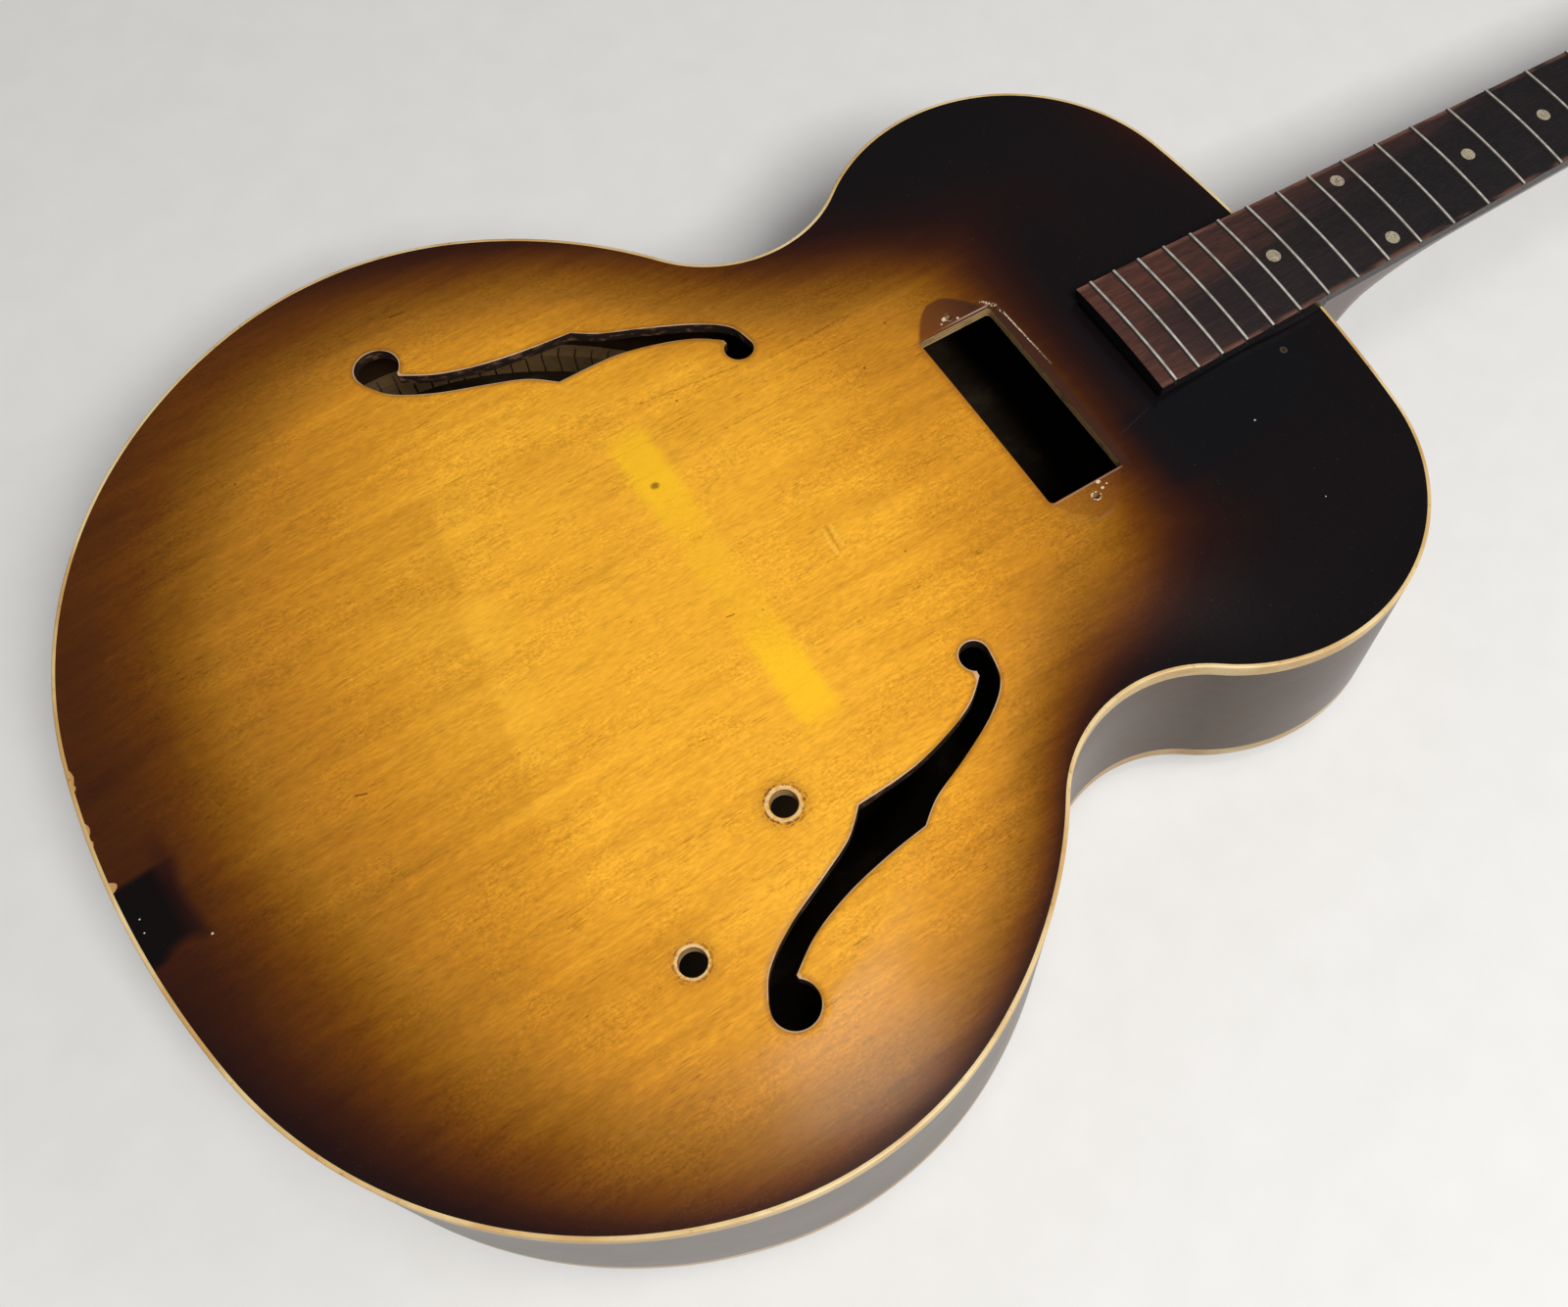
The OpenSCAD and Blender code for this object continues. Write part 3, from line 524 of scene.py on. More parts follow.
class Shade:
    """A material built from expressions. x, y and z are joint-frame millimetres."""

    def __init__(self, name, plain):
        self.material = bpy.data.materials.new(name)
        self.material.use_nodes = True
        self.material.diffuse_color = plain
        self.tree = self.material.node_tree
        self.tree.nodes.clear()
        place = self.node("TexCoord", {}, output="Object")
        parts = self.raw("SeparateXYZ", {0: place})
        self.x = (Field(self, parts.outputs[0]) - JOINT_X) * (1 / MM)
        self.y = Field(self, parts.outputs[1]) * (1 / MM)
        self.z = (Field(self, parts.outputs[2]) - RIM_Z) * (1 / MM)

    def raw(self, kind, inputs, **settings):
        made = self.tree.nodes.new("ShaderNode" + kind)
        for key, value in settings.items():
            setattr(made, key, value)
        for key, value in inputs.items():
            if isinstance(value, Field):
                self.tree.links.new(value.socket, made.inputs[key])
            else:
                made.inputs[key].default_value = value
        return made

    def node(self, kind, inputs, output=0, **settings):
        return Field(self, self.raw(kind, inputs, **settings).outputs[output])

    def at(self, x_scale, y_scale, z_scale, shift):
        """The joint-frame place with each axis scaled, as a texture vector."""
        return self.node("CombineXYZ", {0: self.x * x_scale + shift, 1: self.y * y_scale + shift * 0.7,
                                        2: self.z * z_scale - shift * 0.4})

    def noise(self, x_scale, y_scale, z_scale, detail=3.0, rough=0.55, shift=0.0, twist=0.0):
        """Cloudy noise around 0.5, with the scales in waves per millimetre."""
        return self.node("TexNoise", {"Vector": self.at(x_scale, y_scale, z_scale, shift), "Scale": 1.0,
                                      "Detail": detail, "Roughness": rough, "Distortion": twist}, output=0)

    def cells(self, scale, shift):
        """Distance from scattered points, with the scale in points per millimetre."""
        return self.node("TexVoronoi", {"Vector": self.at(scale, scale, scale, shift), "Scale": 1.0})

    def value(self, label):
        return self.node("Attribute", {}, output="Fac", attribute_name=label)

    def upright(self, low, high):
        """0 on walls and 1 on faces that look up, between two heights of the normal."""
        parts = self.raw("SeparateXYZ", {0: self.node("NewGeometry", {}, output="Normal")})
        return Field(self, parts.outputs[2]).step(low, high)

    def ramp(self, field, stops):
        """Begin the colour as a field's place between stops, each a position and a display colour."""
        made = self.raw("ValToRGB", {"Fac": field})
        elements = made.color_ramp.elements
        elements[0].position, elements[1].position = stops[0][0], stops[-1][0]
        elements[0].color, elements[1].color = srgb(*stops[0][1]), srgb(*stops[-1][1])
        for position, colour in stops[1:-1]:
            elements.new(position).color = srgb(*colour)
        self.colour = Field(self, made.outputs[0])

    def mix(self, below, above, share):
        return self.node("Mix", {0: share, 6: below, 7: above}, output=2, data_type="RGBA")

    def start(self, low, high, share):
        """Begin the colour as a mix of two display colours."""
        self.colour = self.mix(srgb(*low), srgb(*high), share)

    def lay(self, tint, share):
        """Lay a display colour over the colour so far."""
        self.colour = self.mix(self.colour, srgb(*tint), share)

    def scale_colour(self, factor):
        """Make the colour so far lighter or darker by a factor field."""
        self.colour = self.node("VectorMath", {0: self.colour, "Scale": factor}, operation="SCALE")

    def blot(self, cx, cy, rx, ry, edge=0.25, turn=0.0, wobble=None):
        """1 inside an ellipse, 0 outside, with an edge that is a share of its radius."""
        c, s = math.cos(math.radians(turn)), math.sin(math.radians(turn))
        dx, dy = self.x - cx, self.y - cy
        along, across = dx * (c / rx) + dy * (s / rx), dy * (c / ry) - dx * (s / ry)
        reach = (along * along + across * across).power(0.5)
        if wobble is not None:
            reach = reach + wobble
        return reach.step(1 + edge, 1 - edge)

    def ring(self, cx, cy, radius, width, wobble):
        """1 along a circle, fading out at its width."""
        dx, dy = self.x - cx, self.y - cy
        reach = (dx * dx + dy * dy).power(0.5) - radius + wobble
        return reach.size().step(width, width * 0.3)

    def stroke(self, start, end, width, wobble):
        """1 along a straight line between two plan points, fading out at its width."""
        (ax, ay), (bx, by) = start, end
        length = math.hypot(bx - ax, by - ay)
        ux, uy = (bx - ax) / length, (by - ay) / length
        dx, dy = self.x - ax, self.y - ay
        along, across = dx * ux + dy * uy, dy * ux - dx * uy + wobble
        past = (along * -1.0).most(along - length).most(0.0)
        return (across * across + past * past).power(0.5).step(width, width * 0.35)

    def bump(self, height):
        """A normal from a height field in millimetres."""
        return self.node("Bump", {"Height": height, "Strength": 1.0, "Distance": MM})

    def finish(self, roughness, normal, **constants):
        inputs = {"Base Color": self.colour, "Roughness": roughness, "Normal": normal}
        shader = self.raw("BsdfPrincipled", inputs)
        for key, value in constants.items():
            shader.inputs[key.replace("_", " ")].default_value = value
        out = self.tree.nodes.new("ShaderNodeOutputMaterial")
        self.tree.links.new(shader.outputs[0], out.inputs["Surface"])
        return self.material


def strongest(fields):
    """The largest of several fields at each point."""
    found = fields[0]
    for field in fields[1:]:
        found = found.most(field)
    return found


BURST_STOPS = [
    (0.00, (14, 11, 13)), (0.09, (19, 13, 14)), (0.17, (34, 14, 11)), (0.25, (58, 25, 9)),
    (0.33, (84, 42, 7)), (0.42, (107, 58, 6)), (0.50, (125, 75, 9)), (0.58, (142, 88, 14)),
    (0.66, (157, 101, 22)), (0.74, (177, 115, 28)), (0.83, (200, 132, 32)), (0.91, (221, 151, 38)),
    (0.985, (240, 171, 46)),
]
BRIDGE_X, BRIDGE_Y = -273.0, -1.5
SHADE_LINE_X, SHADE_LINE_SLANT = -363.5, 0.21
EAR_HALF_W, BASS_EAR_Y, BASS_EAR_L, TREBLE_EAR_Y, TREBLE_EAR_L = 16.8, 44.0, 15.0, -44.6, 15.4
FOOT_EDGE_X, FOOT_Y, FOOT_CURVE = -482.6, -3.8, 0.0075
GUARD_SCREW = (-29.3, -35.7)
WASHER_RADII = (6.9, 6.4)
GRAIN_LINES = [  # start, end and half width of each dark grain line
    ((-207.0, 69.5), (-183.5, 70.6), 0.65), ((-183.5, 70.6), (-130.1, 71.7), 0.45),
    ((-210.5, 59.9), (-167.1, 60.1), 0.5), ((-261.5, 78.6), (-219.8, 73.1), 0.6),
    ((-300.0, 62.0), (-250.0, 61.0), 0.4), ((-250.0, 50.0), (-190.0, 51.0), 0.4),
    ((-470.0, 92.0), (-440.0, 96.0), 1.3), ((-472.0, 13.5), (-452.0, 13.0), 0.9),
]
CHIPS = [  # centre, half sizes and turn of each chip
    (-138.7, 48.6, 1.15, 0.75, 30), (-133.6, 46.2, 0.55, 0.5, 0), (-140.9, 47.0, 0.45, 0.35, 0),
    (-132.3, -46.1, 0.95, 0.75, 0), (-132.4, -49.1, 0.7, 0.55, 0), (-129.9, -48.4, 0.4, 0.35, 0),
    (-499.0, -2.2, 0.30, 0.28, 0), (-499.6, -7.4, 0.28, 0.26, 0), (-481.0, -21.0, 0.45, 0.4, 0),
    (-62.0, -56.5, 0.38, 0.34, 0), (-60.3, -98.5, 0.26, 0.24, 0),
]
LIP_CHIPS = [(57.6, 3.4, 1.0), (53.8, 1.4, 0.8), (37.0, 2.6, 0.9), (31.5, 1.3, 0.5), (13.2, 2.2, 2.2)]
SCRATCHES = [  # start, end and half width of each scratch or dark streak
    ((-420.5, -6.5), (-417.0, -7.8), 0.5), ((-320.1, 171.5), (-314.2, 171.0), 0.55),
    ((-281.0, -19.4), (-278.0, -20.0), 0.32),
]
DARK_SPECKS = [(*GUARD_SCREW, 0.9), (-159.6, 59.5, 0.5), (-178.8, 45.4, 0.55), (-247.8, 71.6, 0.5),
               (-211.8, -31.9, 0.4), (-268.6, -24.0, 0.35), (-402.0, 132.0, 0.45)]


def top_lacquer():
    """Faded sunburst lacquer over flecked wood, with what the lost fittings left behind."""
    s = Shade("top_lacquer", srgb(220, 155, 45))
    fade = s.value("burst")
    edge_gap = s.value("edge_gap")

    # wobbles in millimetres for the edges of marks, and crumbs that break them up
    ragged = (s.noise(0.35, 0.35, 0.35, shift=9.0) - 0.5) * 0.9
    fine = (s.noise(1.3, 1.3, 1.3, detail=2.0, shift=4.0) - 0.5) * 1.4
    crumbs = s.noise(0.55, 0.55, 0.55, rough=0.7, shift=18.0)

    # figure of the wood, from broad clouds down to single pores
    cloud = s.noise(0.016, 0.028, 0.028, detail=4.0, rough=0.6, shift=1.0) - 0.5
    streak = s.noise(0.010, 0.22, 0.22, detail=4.0, rough=0.6, shift=2.0) - 0.5
    fleck = s.noise(0.24, 1.0, 1.0, rough=0.6, shift=3.0) - 0.5
    patch = s.noise(0.035, 0.06, 0.06, shift=5.0)
    sparkle = (s.noise(0.7, 1.15, 1.15, detail=2.0, rough=0.7, shift=6.0) - 0.5) * patch.step(0.42, 0.60)
    pore_gate = s.noise(0.03, 0.09, 0.09, shift=8.0).step(0.42, 0.62)
    pores = s.noise(0.13, 1.9, 1.9, detail=2.0, shift=7.0).step(0.56, 0.72) * pore_gate
    shown = fade.step(0.08, 0.5)
    tone = fade + cloud * 0.18 * shown + streak * 0.13 * shown + fleck * 0.06 * fade
    s.ramp(tone, BURST_STOPS)
    s.scale_colour(1.0 + (fleck * 0.60 + sparkle + streak * 0.20 - pores * 0.36) * shown)

    # long dark grain lines
    lines = strongest([s.stroke(start, end, width, ragged * 1.1) for start, end, width in GRAIN_LINES])
    s.lay((112, 66, 14), lines * crumbs.step(0.36, 0.60) * 0.45)

    # bridge footprint: lacquer that the bridge kept from darkening, clearest under its feet
    strip = (s.x - BRIDGE_X + ragged * 4.0).size().step(11.0, 5.0)
    strip = strip * (s.y - BRIDGE_Y + ragged * 5.0).size().step(77, 62)
    feet = (s.y - BRIDGE_Y).size().step(14, 46) * 0.42 + 0.24 + cloud * 0.5
    s.lay((255, 198, 32), strip * feet)

    # the tailpiece shaded the top behind a soft line that slants across it
    behind = s.x - SHADE_LINE_X - s.y * SHADE_LINE_SLANT + cloud * 14.0 + ragged * 3.0
    across = (s.y - 14.0).size().step(84, 52)
    s.scale_colour(1.0 - behind.step(2.5, -3.0) * behind.step(-70.0, -8.0) * across * 0.085)
    flare = behind.step(-3.0, 3.0) * behind.step(22.0, 5.0) * across
    s.lay((255, 202, 62), flare * (0.10 + sparkle * 0.5 + cloud * 0.6).most(0.0))

    # pickup cover footprint: a bell at each end and a strip that kept the first dark finish
    def ear(cy, sign, reach):
        rise = ((s.y - cy) * sign).most(0.0) / reach
        half = (1.0 - rise.least(1.0)).power(0.55) * EAR_HALF_W
        dx = (s.x - ROUT_X + 0.6).size() + ragged * 0.6
        return (half - dx).step(-0.8, 1.4) * rise.step(1.0, 0.9) * ((s.y - cy) * sign).step(-3, 0)

    bass_ear, treble_ear = ear(BASS_EAR_Y, 1.0, BASS_EAR_L), ear(TREBLE_EAR_Y, -1.0, TREBLE_EAR_L)
    side_strip = (s.x + 117.6).size().step(2.4, 1.0) * (s.y - ROUT_Y + 1.5).size().step(46, 41)
    bell = s.mix(srgb(104, 56, 22), srgb(64, 34, 22), s.x.step(-150.0, -122.0))
    s.colour = s.mix(s.colour, bell, bass_ear * 0.92)
    s.lay((112, 60, 28), treble_ear * 0.3)
    arc = s.ring(-139.0, -46.0, 13.5, 1.0, ragged) * s.y.step(-50.0, -54.0) * s.x.step(-130.0, -138.0)
    s.lay((160, 112, 66), arc * 0.26)
    s.lay((60, 35, 28), side_strip * 0.8)

    # darker lacquer along the bridge side of the pickup, and thin pale lines at its two ends
    toe = (s.x + 154.9 + ragged).step(-2.6, 1.2) * s.x.step(-149.0, -150.0)
    toe = toe * (s.y - ROUT_Y).size().step(47, 43)
    s.lay((138, 78, 20), toe * 0.5)
    lip = (s.y - 45.1).size().step(0.55, 0.15) * s.x.step(-146.0, -128.0) * s.x.step(-119.0, -121.0)
    lip = lip.most((s.y + 45.4).size().step(0.5, 0.15) * (s.x - ROUT_X).size().step(17.5, 15.0) * 0.5)
    s.lay((196, 164, 150), lip * 0.65)

    # tailpiece footprint: black at the tail, dark red towards the bridge, with two drawn-out corners
    off_middle = s.y - FOOT_Y
    foot_edge = s.x - FOOT_EDGE_X - off_middle * off_middle * FOOT_CURVE + ragged * 1.6
    dip = s.blot(-490.5, -24.5, 8.0, 7.5, 0.4)
    foot_side = (off_middle + 0.8 + fine * 0.25).size().step(17.8, 14.6)
    foot = foot_edge.step(3.0, -3.4) * foot_side * (1.0 - dip)
    s.lay((36, 13, 10), foot * 0.90)
    s.lay((11, 7, 7), foot * s.x.step(-482.5, -491.0) * 0.95)
    plume = s.blot(-484.5, 14.0, 3.4, 8.0, 0.7) * 0.5
    s.lay((52, 20, 10), plume)

    # pickguard footprint on the treble side of the board: bluish black, with its screw hole
    past = (s.x + 70.0).most(0.0)
    guard_edge = s.y + 64.0 - past * past * 0.0065 + cloud * 8.0
    guard = guard_edge.step(-3.5, 3.5) * s.x.step(-115.0, -101.0) * s.x.step(-18.0, -27.0)
    guard = guard * s.y.step(-26.0, -30.0)
    s.lay((12, 13, 16), guard * 0.72)
    faint = s.stroke((-95.0, -29.6), (-112.0, -33.5), 0.4, ragged * 0.5)
    s.lay((66, 56, 58), faint * 0.18)

    # stained edges of the sound holes, and a broken pale line on their rounded edges that is partly worn
    # lacquer and partly painted highlight
    gap = s.value("sound_gap")
    stain = gap.step(2.6, 0.5) * 0.42
    s.lay((92, 50, 18), stain * fade.step(0.15, 0.6))
    # painted highlight, partly worn lacquer: a pale line along the rounded edge, where light catches it
    worn = (gap - 0.28 + fine * 0.12).size().step(0.36, 0.12) * patch.step(0.40, 0.56)
    s.lay((206, 178, 150), worn * 0.75)

    # broken rings that the control nuts and washers wore, and grime around them
    for k, ((cx, cy), radius) in enumerate(zip(CONTROL_HOLES, WASHER_RADII)):
        strength = 1.0 - k * 0.35
        grime = s.blot(cx, cy, radius + 3.0, radius + 3.0, 0.35)
        s.lay((168, 108, 32), grime * 0.38 * strength)
        pale = s.ring(cx, cy, radius - 0.9, 0.95, fine * 0.5)
        s.lay((226, 196, 144), pale * crumbs.step(0.36, 0.54) * 0.85)
        pressed = s.ring(cx, cy, radius + 0.2, 0.7, fine * 0.6) * crumbs.step(0.60, 0.42)
        s.lay((86, 50, 20), pressed * 0.85 * strength)
        outer = s.ring(cx, cy, radius + 1.3, 0.5, fine * 0.6) * crumbs.step(0.50, 0.62)
        s.lay((104, 62, 22), outer * 0.6 * strength)

    # chips down to the pale wood round the pickup, as single specks, and along the binding at the tail
    chips = [s.blot(cx, cy, rx, ry, 0.25, turn, fine * 0.35) for cx, cy, rx, ry, turn in CHIPS]
    chips += [s.ring(cx, cy, 1.75, 0.5, fine * 0.4) * crumbs.step(0.52, 0.60) for cx, cy in PICKUP_SCREWS]
    beads = s.cells(1.5, 14.0).step(0.56, 0.34) * crumbs.step(0.30, 0.46)
    crackle = s.stroke((-120.8, 48.2), (-117.2, 43.6), 1.15, fine * 0.5)
    crackle = crackle.most(s.stroke((-117.2, 43.6), (-116.2, 38.0), 0.8, fine * 0.4))
    thin = s.stroke((-116.2, 38.0), (-114.9, 8.0), 0.45, fine * 0.35) * s.y.step(0.0, 34.0)
    chips = strongest(chips + [crackle * beads, thin * fine.step(-0.22, 0.06)])
    s.lay((222, 206, 178), chips * 0.9)
    lips = []
    for cy, half, depth in LIP_CHIPS:
        dy = (s.y - cy) / half
        lip_depth = (1.0 - dy * dy) * depth + fine * 0.3 + BINDING_T
        lips.append((edge_gap - lip_depth).step(0.2, -0.2) * dy.size().step(1.0, 0.9))
    s.lay((196, 148, 92), strongest(lips) * s.x.step(-470.0, -480.0) * 0.9)

    # dings, scratches, old screw marks, and a dent drawn only in colour
    marks = [s.blot(-274.3, 42.5, 1.7, 1.4, 0.4, 0.0, fine * 0.5)]
    marks += [s.stroke(start, end, width, fine * 0.3) for start, end, width in SCRATCHES]
    marks += [s.blot(cx, cy, radius, radius, 0.4, 0.0, fine * 0.3) for cx, cy, radius in DARK_SPECKS]
    s.lay((72, 42, 14), strongest(marks) * 0.66)
    specks = s.cells(0.16, 3.3).step(0.055, 0.02) * patch.step(0.46, 0.56)
    s.lay((112, 66, 22), specks * 0.55)
    screw_ring = s.ring(*GUARD_SCREW, 1.25, 0.45, fine * 0.4)
    s.lay((92, 86, 76), screw_ring * 0.6)

    # the dent is painted: painted highlights along its two edges and painted shade along its middle
    dent_left_highlight = s.stroke((-232.6, -8.0), (-233.4, -19.0), 0.9, ragged * 3.0)
    dent_right_highlight = s.stroke((-229.0, -7.6), (-229.8, -17.0), 0.8, ragged * 3.0)
    s.lay((255, 208, 96), dent_right_highlight.most(dent_left_highlight) * 0.26)
    dent_shade = s.stroke((-230.8, -7.5), (-231.8, -18.5), 0.8, ragged * 1.6)
    s.lay((176, 112, 26), dent_shade * 0.4)
    dust = s.noise(0.9, 0.9, 0.9, detail=2.0, shift=17.0).step(0.66, 0.80)
    s.lay((120, 112, 104), dust * (1.0 - fade.step(0.1, 0.4)) * 0.07)

    roughness = 0.25 + cloud * 0.12 + sparkle * 0.10 + chips * 0.4 + dust * 0.12
    height = fleck * 0.035 * fade + streak * 0.05
    return s.finish(roughness, s.bump(height), Coat_Weight=0.10, Coat_Roughness=0.12,
                    Specular_IOR_Level=0.22)


def dark_lacquer(name, deep, glow, coat, shift):
    """Aged brown lacquer over straight grain, as on the back, the sides and the neck."""
    s = Shade(name, deep)
    cloud = s.noise(0.012, 0.02, 0.02, detail=4.0, shift=shift)
    streak = s.noise(0.008, 0.22, 0.22, detail=4.0, shift=shift + 1)
    fleck = s.noise(0.10, 1.2, 1.2, shift=shift + 2)
    tone = (cloud * 0.55 + streak * 0.75 - 0.25).most(0.0)
    s.colour = s.mix(deep, glow, tone.least(1.0))
    s.scale_colour(0.82 + fleck * 0.36)
    scuffs = s.noise(0.05, 0.5, 0.5, detail=5.0, rough=0.7, shift=shift + 3).step(0.66, 0.80)
    nicks = s.cells(0.045, shift + 4).step(0.035, 0.012)
    nicks = nicks * s.noise(0.01, 0.01, 0.01, shift=shift + 6).step(0.50, 0.60)
    s.lay((122, 92, 66), scuffs * 0.10)
    s.lay((176, 138, 92), nicks * 0.8)
    roughness = 0.26 + cloud * 0.14 + scuffs * 0.28 + nicks * 0.3
    height = (streak - 0.5) * 0.06 + (fleck - 0.5) * 0.02 - nicks * 0.15 - scuffs * 0.01
    return s.finish(roughness, s.bump(height), Coat_Weight=coat, Coat_Roughness=0.14,
                    Specular_IOR_Level=0.4)


def black_lacquer():
    s = Shade("black_lacquer", srgb(22, 20, 20))
    cloud = s.noise(0.03, 0.05, 0.05, detail=4.0, shift=51.0)
    fleck = s.noise(0.06, 1.3, 1.3, shift=52.0)
    scuffs = s.noise(0.10, 0.6, 0.6, detail=5.0, rough=0.7, shift=53.0).step(0.62, 0.80)
    s.start((17, 15, 16), (36, 29, 26), cloud)
    s.lay((96, 74, 56), scuffs * 0.22)
    roughness = 0.28 + cloud * 0.16 + scuffs * 0.30
    height = (fleck - 0.5) * 0.03 - scuffs * 0.02
    return s.finish(roughness, s.bump(height), Coat_Weight=0.3, Coat_Roughness=0.18)


def binding_cream():
    """Celluloid that has yellowed, with dark spots of grime and small chips."""
    s = Shade("binding_cream", srgb(214, 180, 118))
    cloud = s.noise(0.03, 0.03, 0.06, detail=4.0, shift=61.0)
    spot = s.noise(0.35, 0.35, 0.5, detail=4.0, rough=0.65, shift=62.0)
    s.start((196, 152, 86), (232, 205, 150), cloud.step(0.3, 0.7))
    s.lay((112, 74, 38), spot.step(0.58, 0.76) * 0.55)
    nick_gate = s.noise(0.012, 0.012, 0.012, shift=64.0).step(0.48, 0.6)
    nicks = s.cells(0.07, 63.0).step(0.05, 0.02) * nick_gate
    s.lay((64, 40, 24), nicks * 0.8)
    roughness = 0.36 + spot * 0.14
    height = (spot - 0.5) * 0.03 - nicks * 0.2
    return s.finish(roughness, s.bump(height), Coat_Weight=0.15, Coat_Roughness=0.2,
                    Subsurface_Weight=0.05, Subsurface_Scale=0.002)


BOARD_STOPS = [(0.0, (23, 19, 20)), (0.25, (37, 27, 27)), (0.5, (60, 37, 32)), (0.75, (92, 54, 41)),
               (1.0, (124, 78, 60))]


def rosewood():
    """Dry board wood on the playing face, black lacquer down its sides."""
    s = Shade("rosewood", srgb(72, 46, 40))
    cloud = s.noise(0.016, 0.06, 0.06, detail=4.0, shift=71.0)
    streak = s.noise(0.014, 0.42, 0.42, detail=5.0, rough=0.65, shift=72.0, twist=0.4)
    grain = s.noise(0.09, 1.6, 1.6, rough=0.6, shift=76.0)
    pores = s.noise(0.22, 3.2, 3.2, detail=2.0, shift=73.0).step(0.58, 0.70)
    waver = (cloud - 0.5) * 30.0 + (streak - 0.5) * 16.0
    ribbon_half = (s.x + 85.0).most(0.0) * 0.12 + 11.0
    ribbon = ((s.y + 13.0 + waver * 0.6).size() - ribbon_half).step(6.0, -6.0) * s.x.step(-90.0, -40.0)
    red_end = s.x.step(90.0, -85.0)
    tone = 0.36 + (streak - 0.5) * 0.4 + (grain - 0.5) * 0.5 + (cloud - 0.5) * 0.3
    tone = tone - ribbon * 0.34 + red_end * 0.27
    s.ramp(tone, BOARD_STOPS)
    s.lay((20, 15, 15), pores * 0.5)

    # wood worn paler along the board's edges
    half_width = 28.5 - (s.x + 89.0) * 0.0167
    worn_edge = (half_width - s.y.size()).step(2.6, 0.2) * s.noise(0.05, 0.3, 0.3, shift=77.0).step(0.34, 0.6)
    s.lay((138, 94, 76), worn_edge * 0.55)
    face_up = s.upright(0.55, 0.85)
    scuffs = s.noise(0.12, 0.6, 0.6, detail=5.0, rough=0.7, shift=74.0).step(0.60, 0.80)
    side = s.mix(srgb(17, 15, 16), srgb(84, 60, 48), scuffs * 0.3)
    chip_at = s.blot(98.0, 25.0, 7.0, 2.2, 0.3, 0.0, (s.noise(0.7, 0.7, 0.7, shift=75.0) - 0.5) * 0.9)
    side = s.mix(side, srgb(150, 112, 84), chip_at * 0.8)
    s.colour = s.mix(side, s.colour, face_up)
    roughness = 0.44 + (streak - 0.5) * 0.12 + pores * 0.15 - (1.0 - face_up) * 0.16
    height = (grain - 0.5) * 0.03 - pores * 0.06 + (streak - 0.5) * 0.05
    return s.finish(roughness, s.bump(height), Specular_IOR_Level=0.36)


def bare_wood(name, pale, deep, shift):
    s = Shade(name, pale)
    streak = s.noise(0.012, 0.30, 0.30, detail=4.0, shift=shift)
    fleck = s.noise(0.12, 1.4, 1.4, shift=shift + 1)
    dust = s.noise(0.05, 0.05, 0.05, detail=4.0, shift=shift + 2)
    s.colour = s.mix(deep, pale, (streak * 0.9 + fleck * 0.3 - 0.1).least(1.0))
    s.lay((116, 104, 88), dust.step(0.5, 0.75) * 0.35)
    return s.finish(0.78 + dust * 0.12, s.bump((streak - 0.5) * 0.10 + (fleck - 0.5) * 0.05),
                    Specular_IOR_Level=0.15)


GLUE_LINES = (1.7, 3.3)


def ply_wall(name, inner, shift):
    """The cut edge of the laminated top: plies, glue lines and what has rubbed off on them."""
    s = Shade(name, inner)
    below = s.value("below") + (s.noise(0.1, 0.1, 0.1, shift=shift) - 0.5) * 0.25
    fibres = s.noise(0.8, 0.8, 2.5, detail=4.0, shift=shift + 1)
    grime = s.noise(0.12, 0.12, 0.2, detail=4.0, shift=shift + 2)
    s.colour = inner
    for glue_line in GLUE_LINES:
        s.lay((66, 42, 24), (below - glue_line).size().step(0.30, 0.12) * 0.8)
    s.lay((58, 34, 18), below.step(0.75, 0.3))
    s.scale_colour(0.62 + fibres * 0.7)
    s.lay((38, 26, 18), grime.step(0.5, 0.75) * 0.5)
    return s.finish(0.72, s.bump((fibres - 0.5) * 0.25))


def stained_wall():
    """The sound holes' edges, brushed dark under the lacquer and worn pale in places."""
    s = Shade("stained_wall", srgb(48, 30, 20))
    wear = s.noise(0.22, 0.22, 0.4, detail=4.0, shift=95.0)
    s.start((34, 20, 14), (134, 92, 54), wear.step(0.52, 0.74) * 0.7)
    return s.finish(0.5 + wear * 0.2, s.bump((wear - 0.5) * 0.2))


def fret_metal():
    """Nickel silver, dulled and rubbed along its crown, with painted shade down the sides of each fret."""
    s = Shade("fret_metal", srgb(206, 202, 194))
    haze = s.noise(0.25, 0.25, 0.25, detail=4.0, shift=101.0)
    rub = s.noise(6.0, 0.6, 3.0, shift=102.0)
    s.start((190, 182, 166), (236, 232, 224), haze.step(0.3, 0.7))
    # painted shade: the colour darkens where the surface turns away from facing up, so only the crown of each
    # fret looks lit
    s.colour = s.mix(srgb(74, 66, 58), s.colour, s.upright(0.80, 0.985))
    roughness = 0.36 + rub * 0.18
    return s.finish(roughness, s.bump((rub - 0.5) * 0.02), Metallic=0.55)


def plain_metal(name, dull, bright, shift):
    s = Shade(name, bright)
    haze = s.noise(0.4, 0.4, 0.4, detail=5.0, rough=0.65, shift=shift)
    s.colour = s.mix(dull, bright, haze.step(0.35, 0.65))
    return s.finish(0.34 + haze * 0.3, s.bump((haze - 0.5) * 0.04), Metallic=1.0)


def pearl():
    s = Shade("pearl", srgb(210, 200, 174))
    swirl = s.noise(0.5, 0.5, 0.5, detail=4.0, shift=111.0, twist=2.0)
    grime = s.noise(0.9, 0.9, 0.9, shift=112.0).step(0.58, 0.78)
    s.start((128, 114, 92), (180, 170, 146), swirl.step(0.3, 0.7))
    s.lay((92, 70, 54), grime * 0.45)
    return s.finish(0.28 + swirl * 0.14, s.bump((swirl - 0.5) * 0.02), Coat_Weight=0.2)


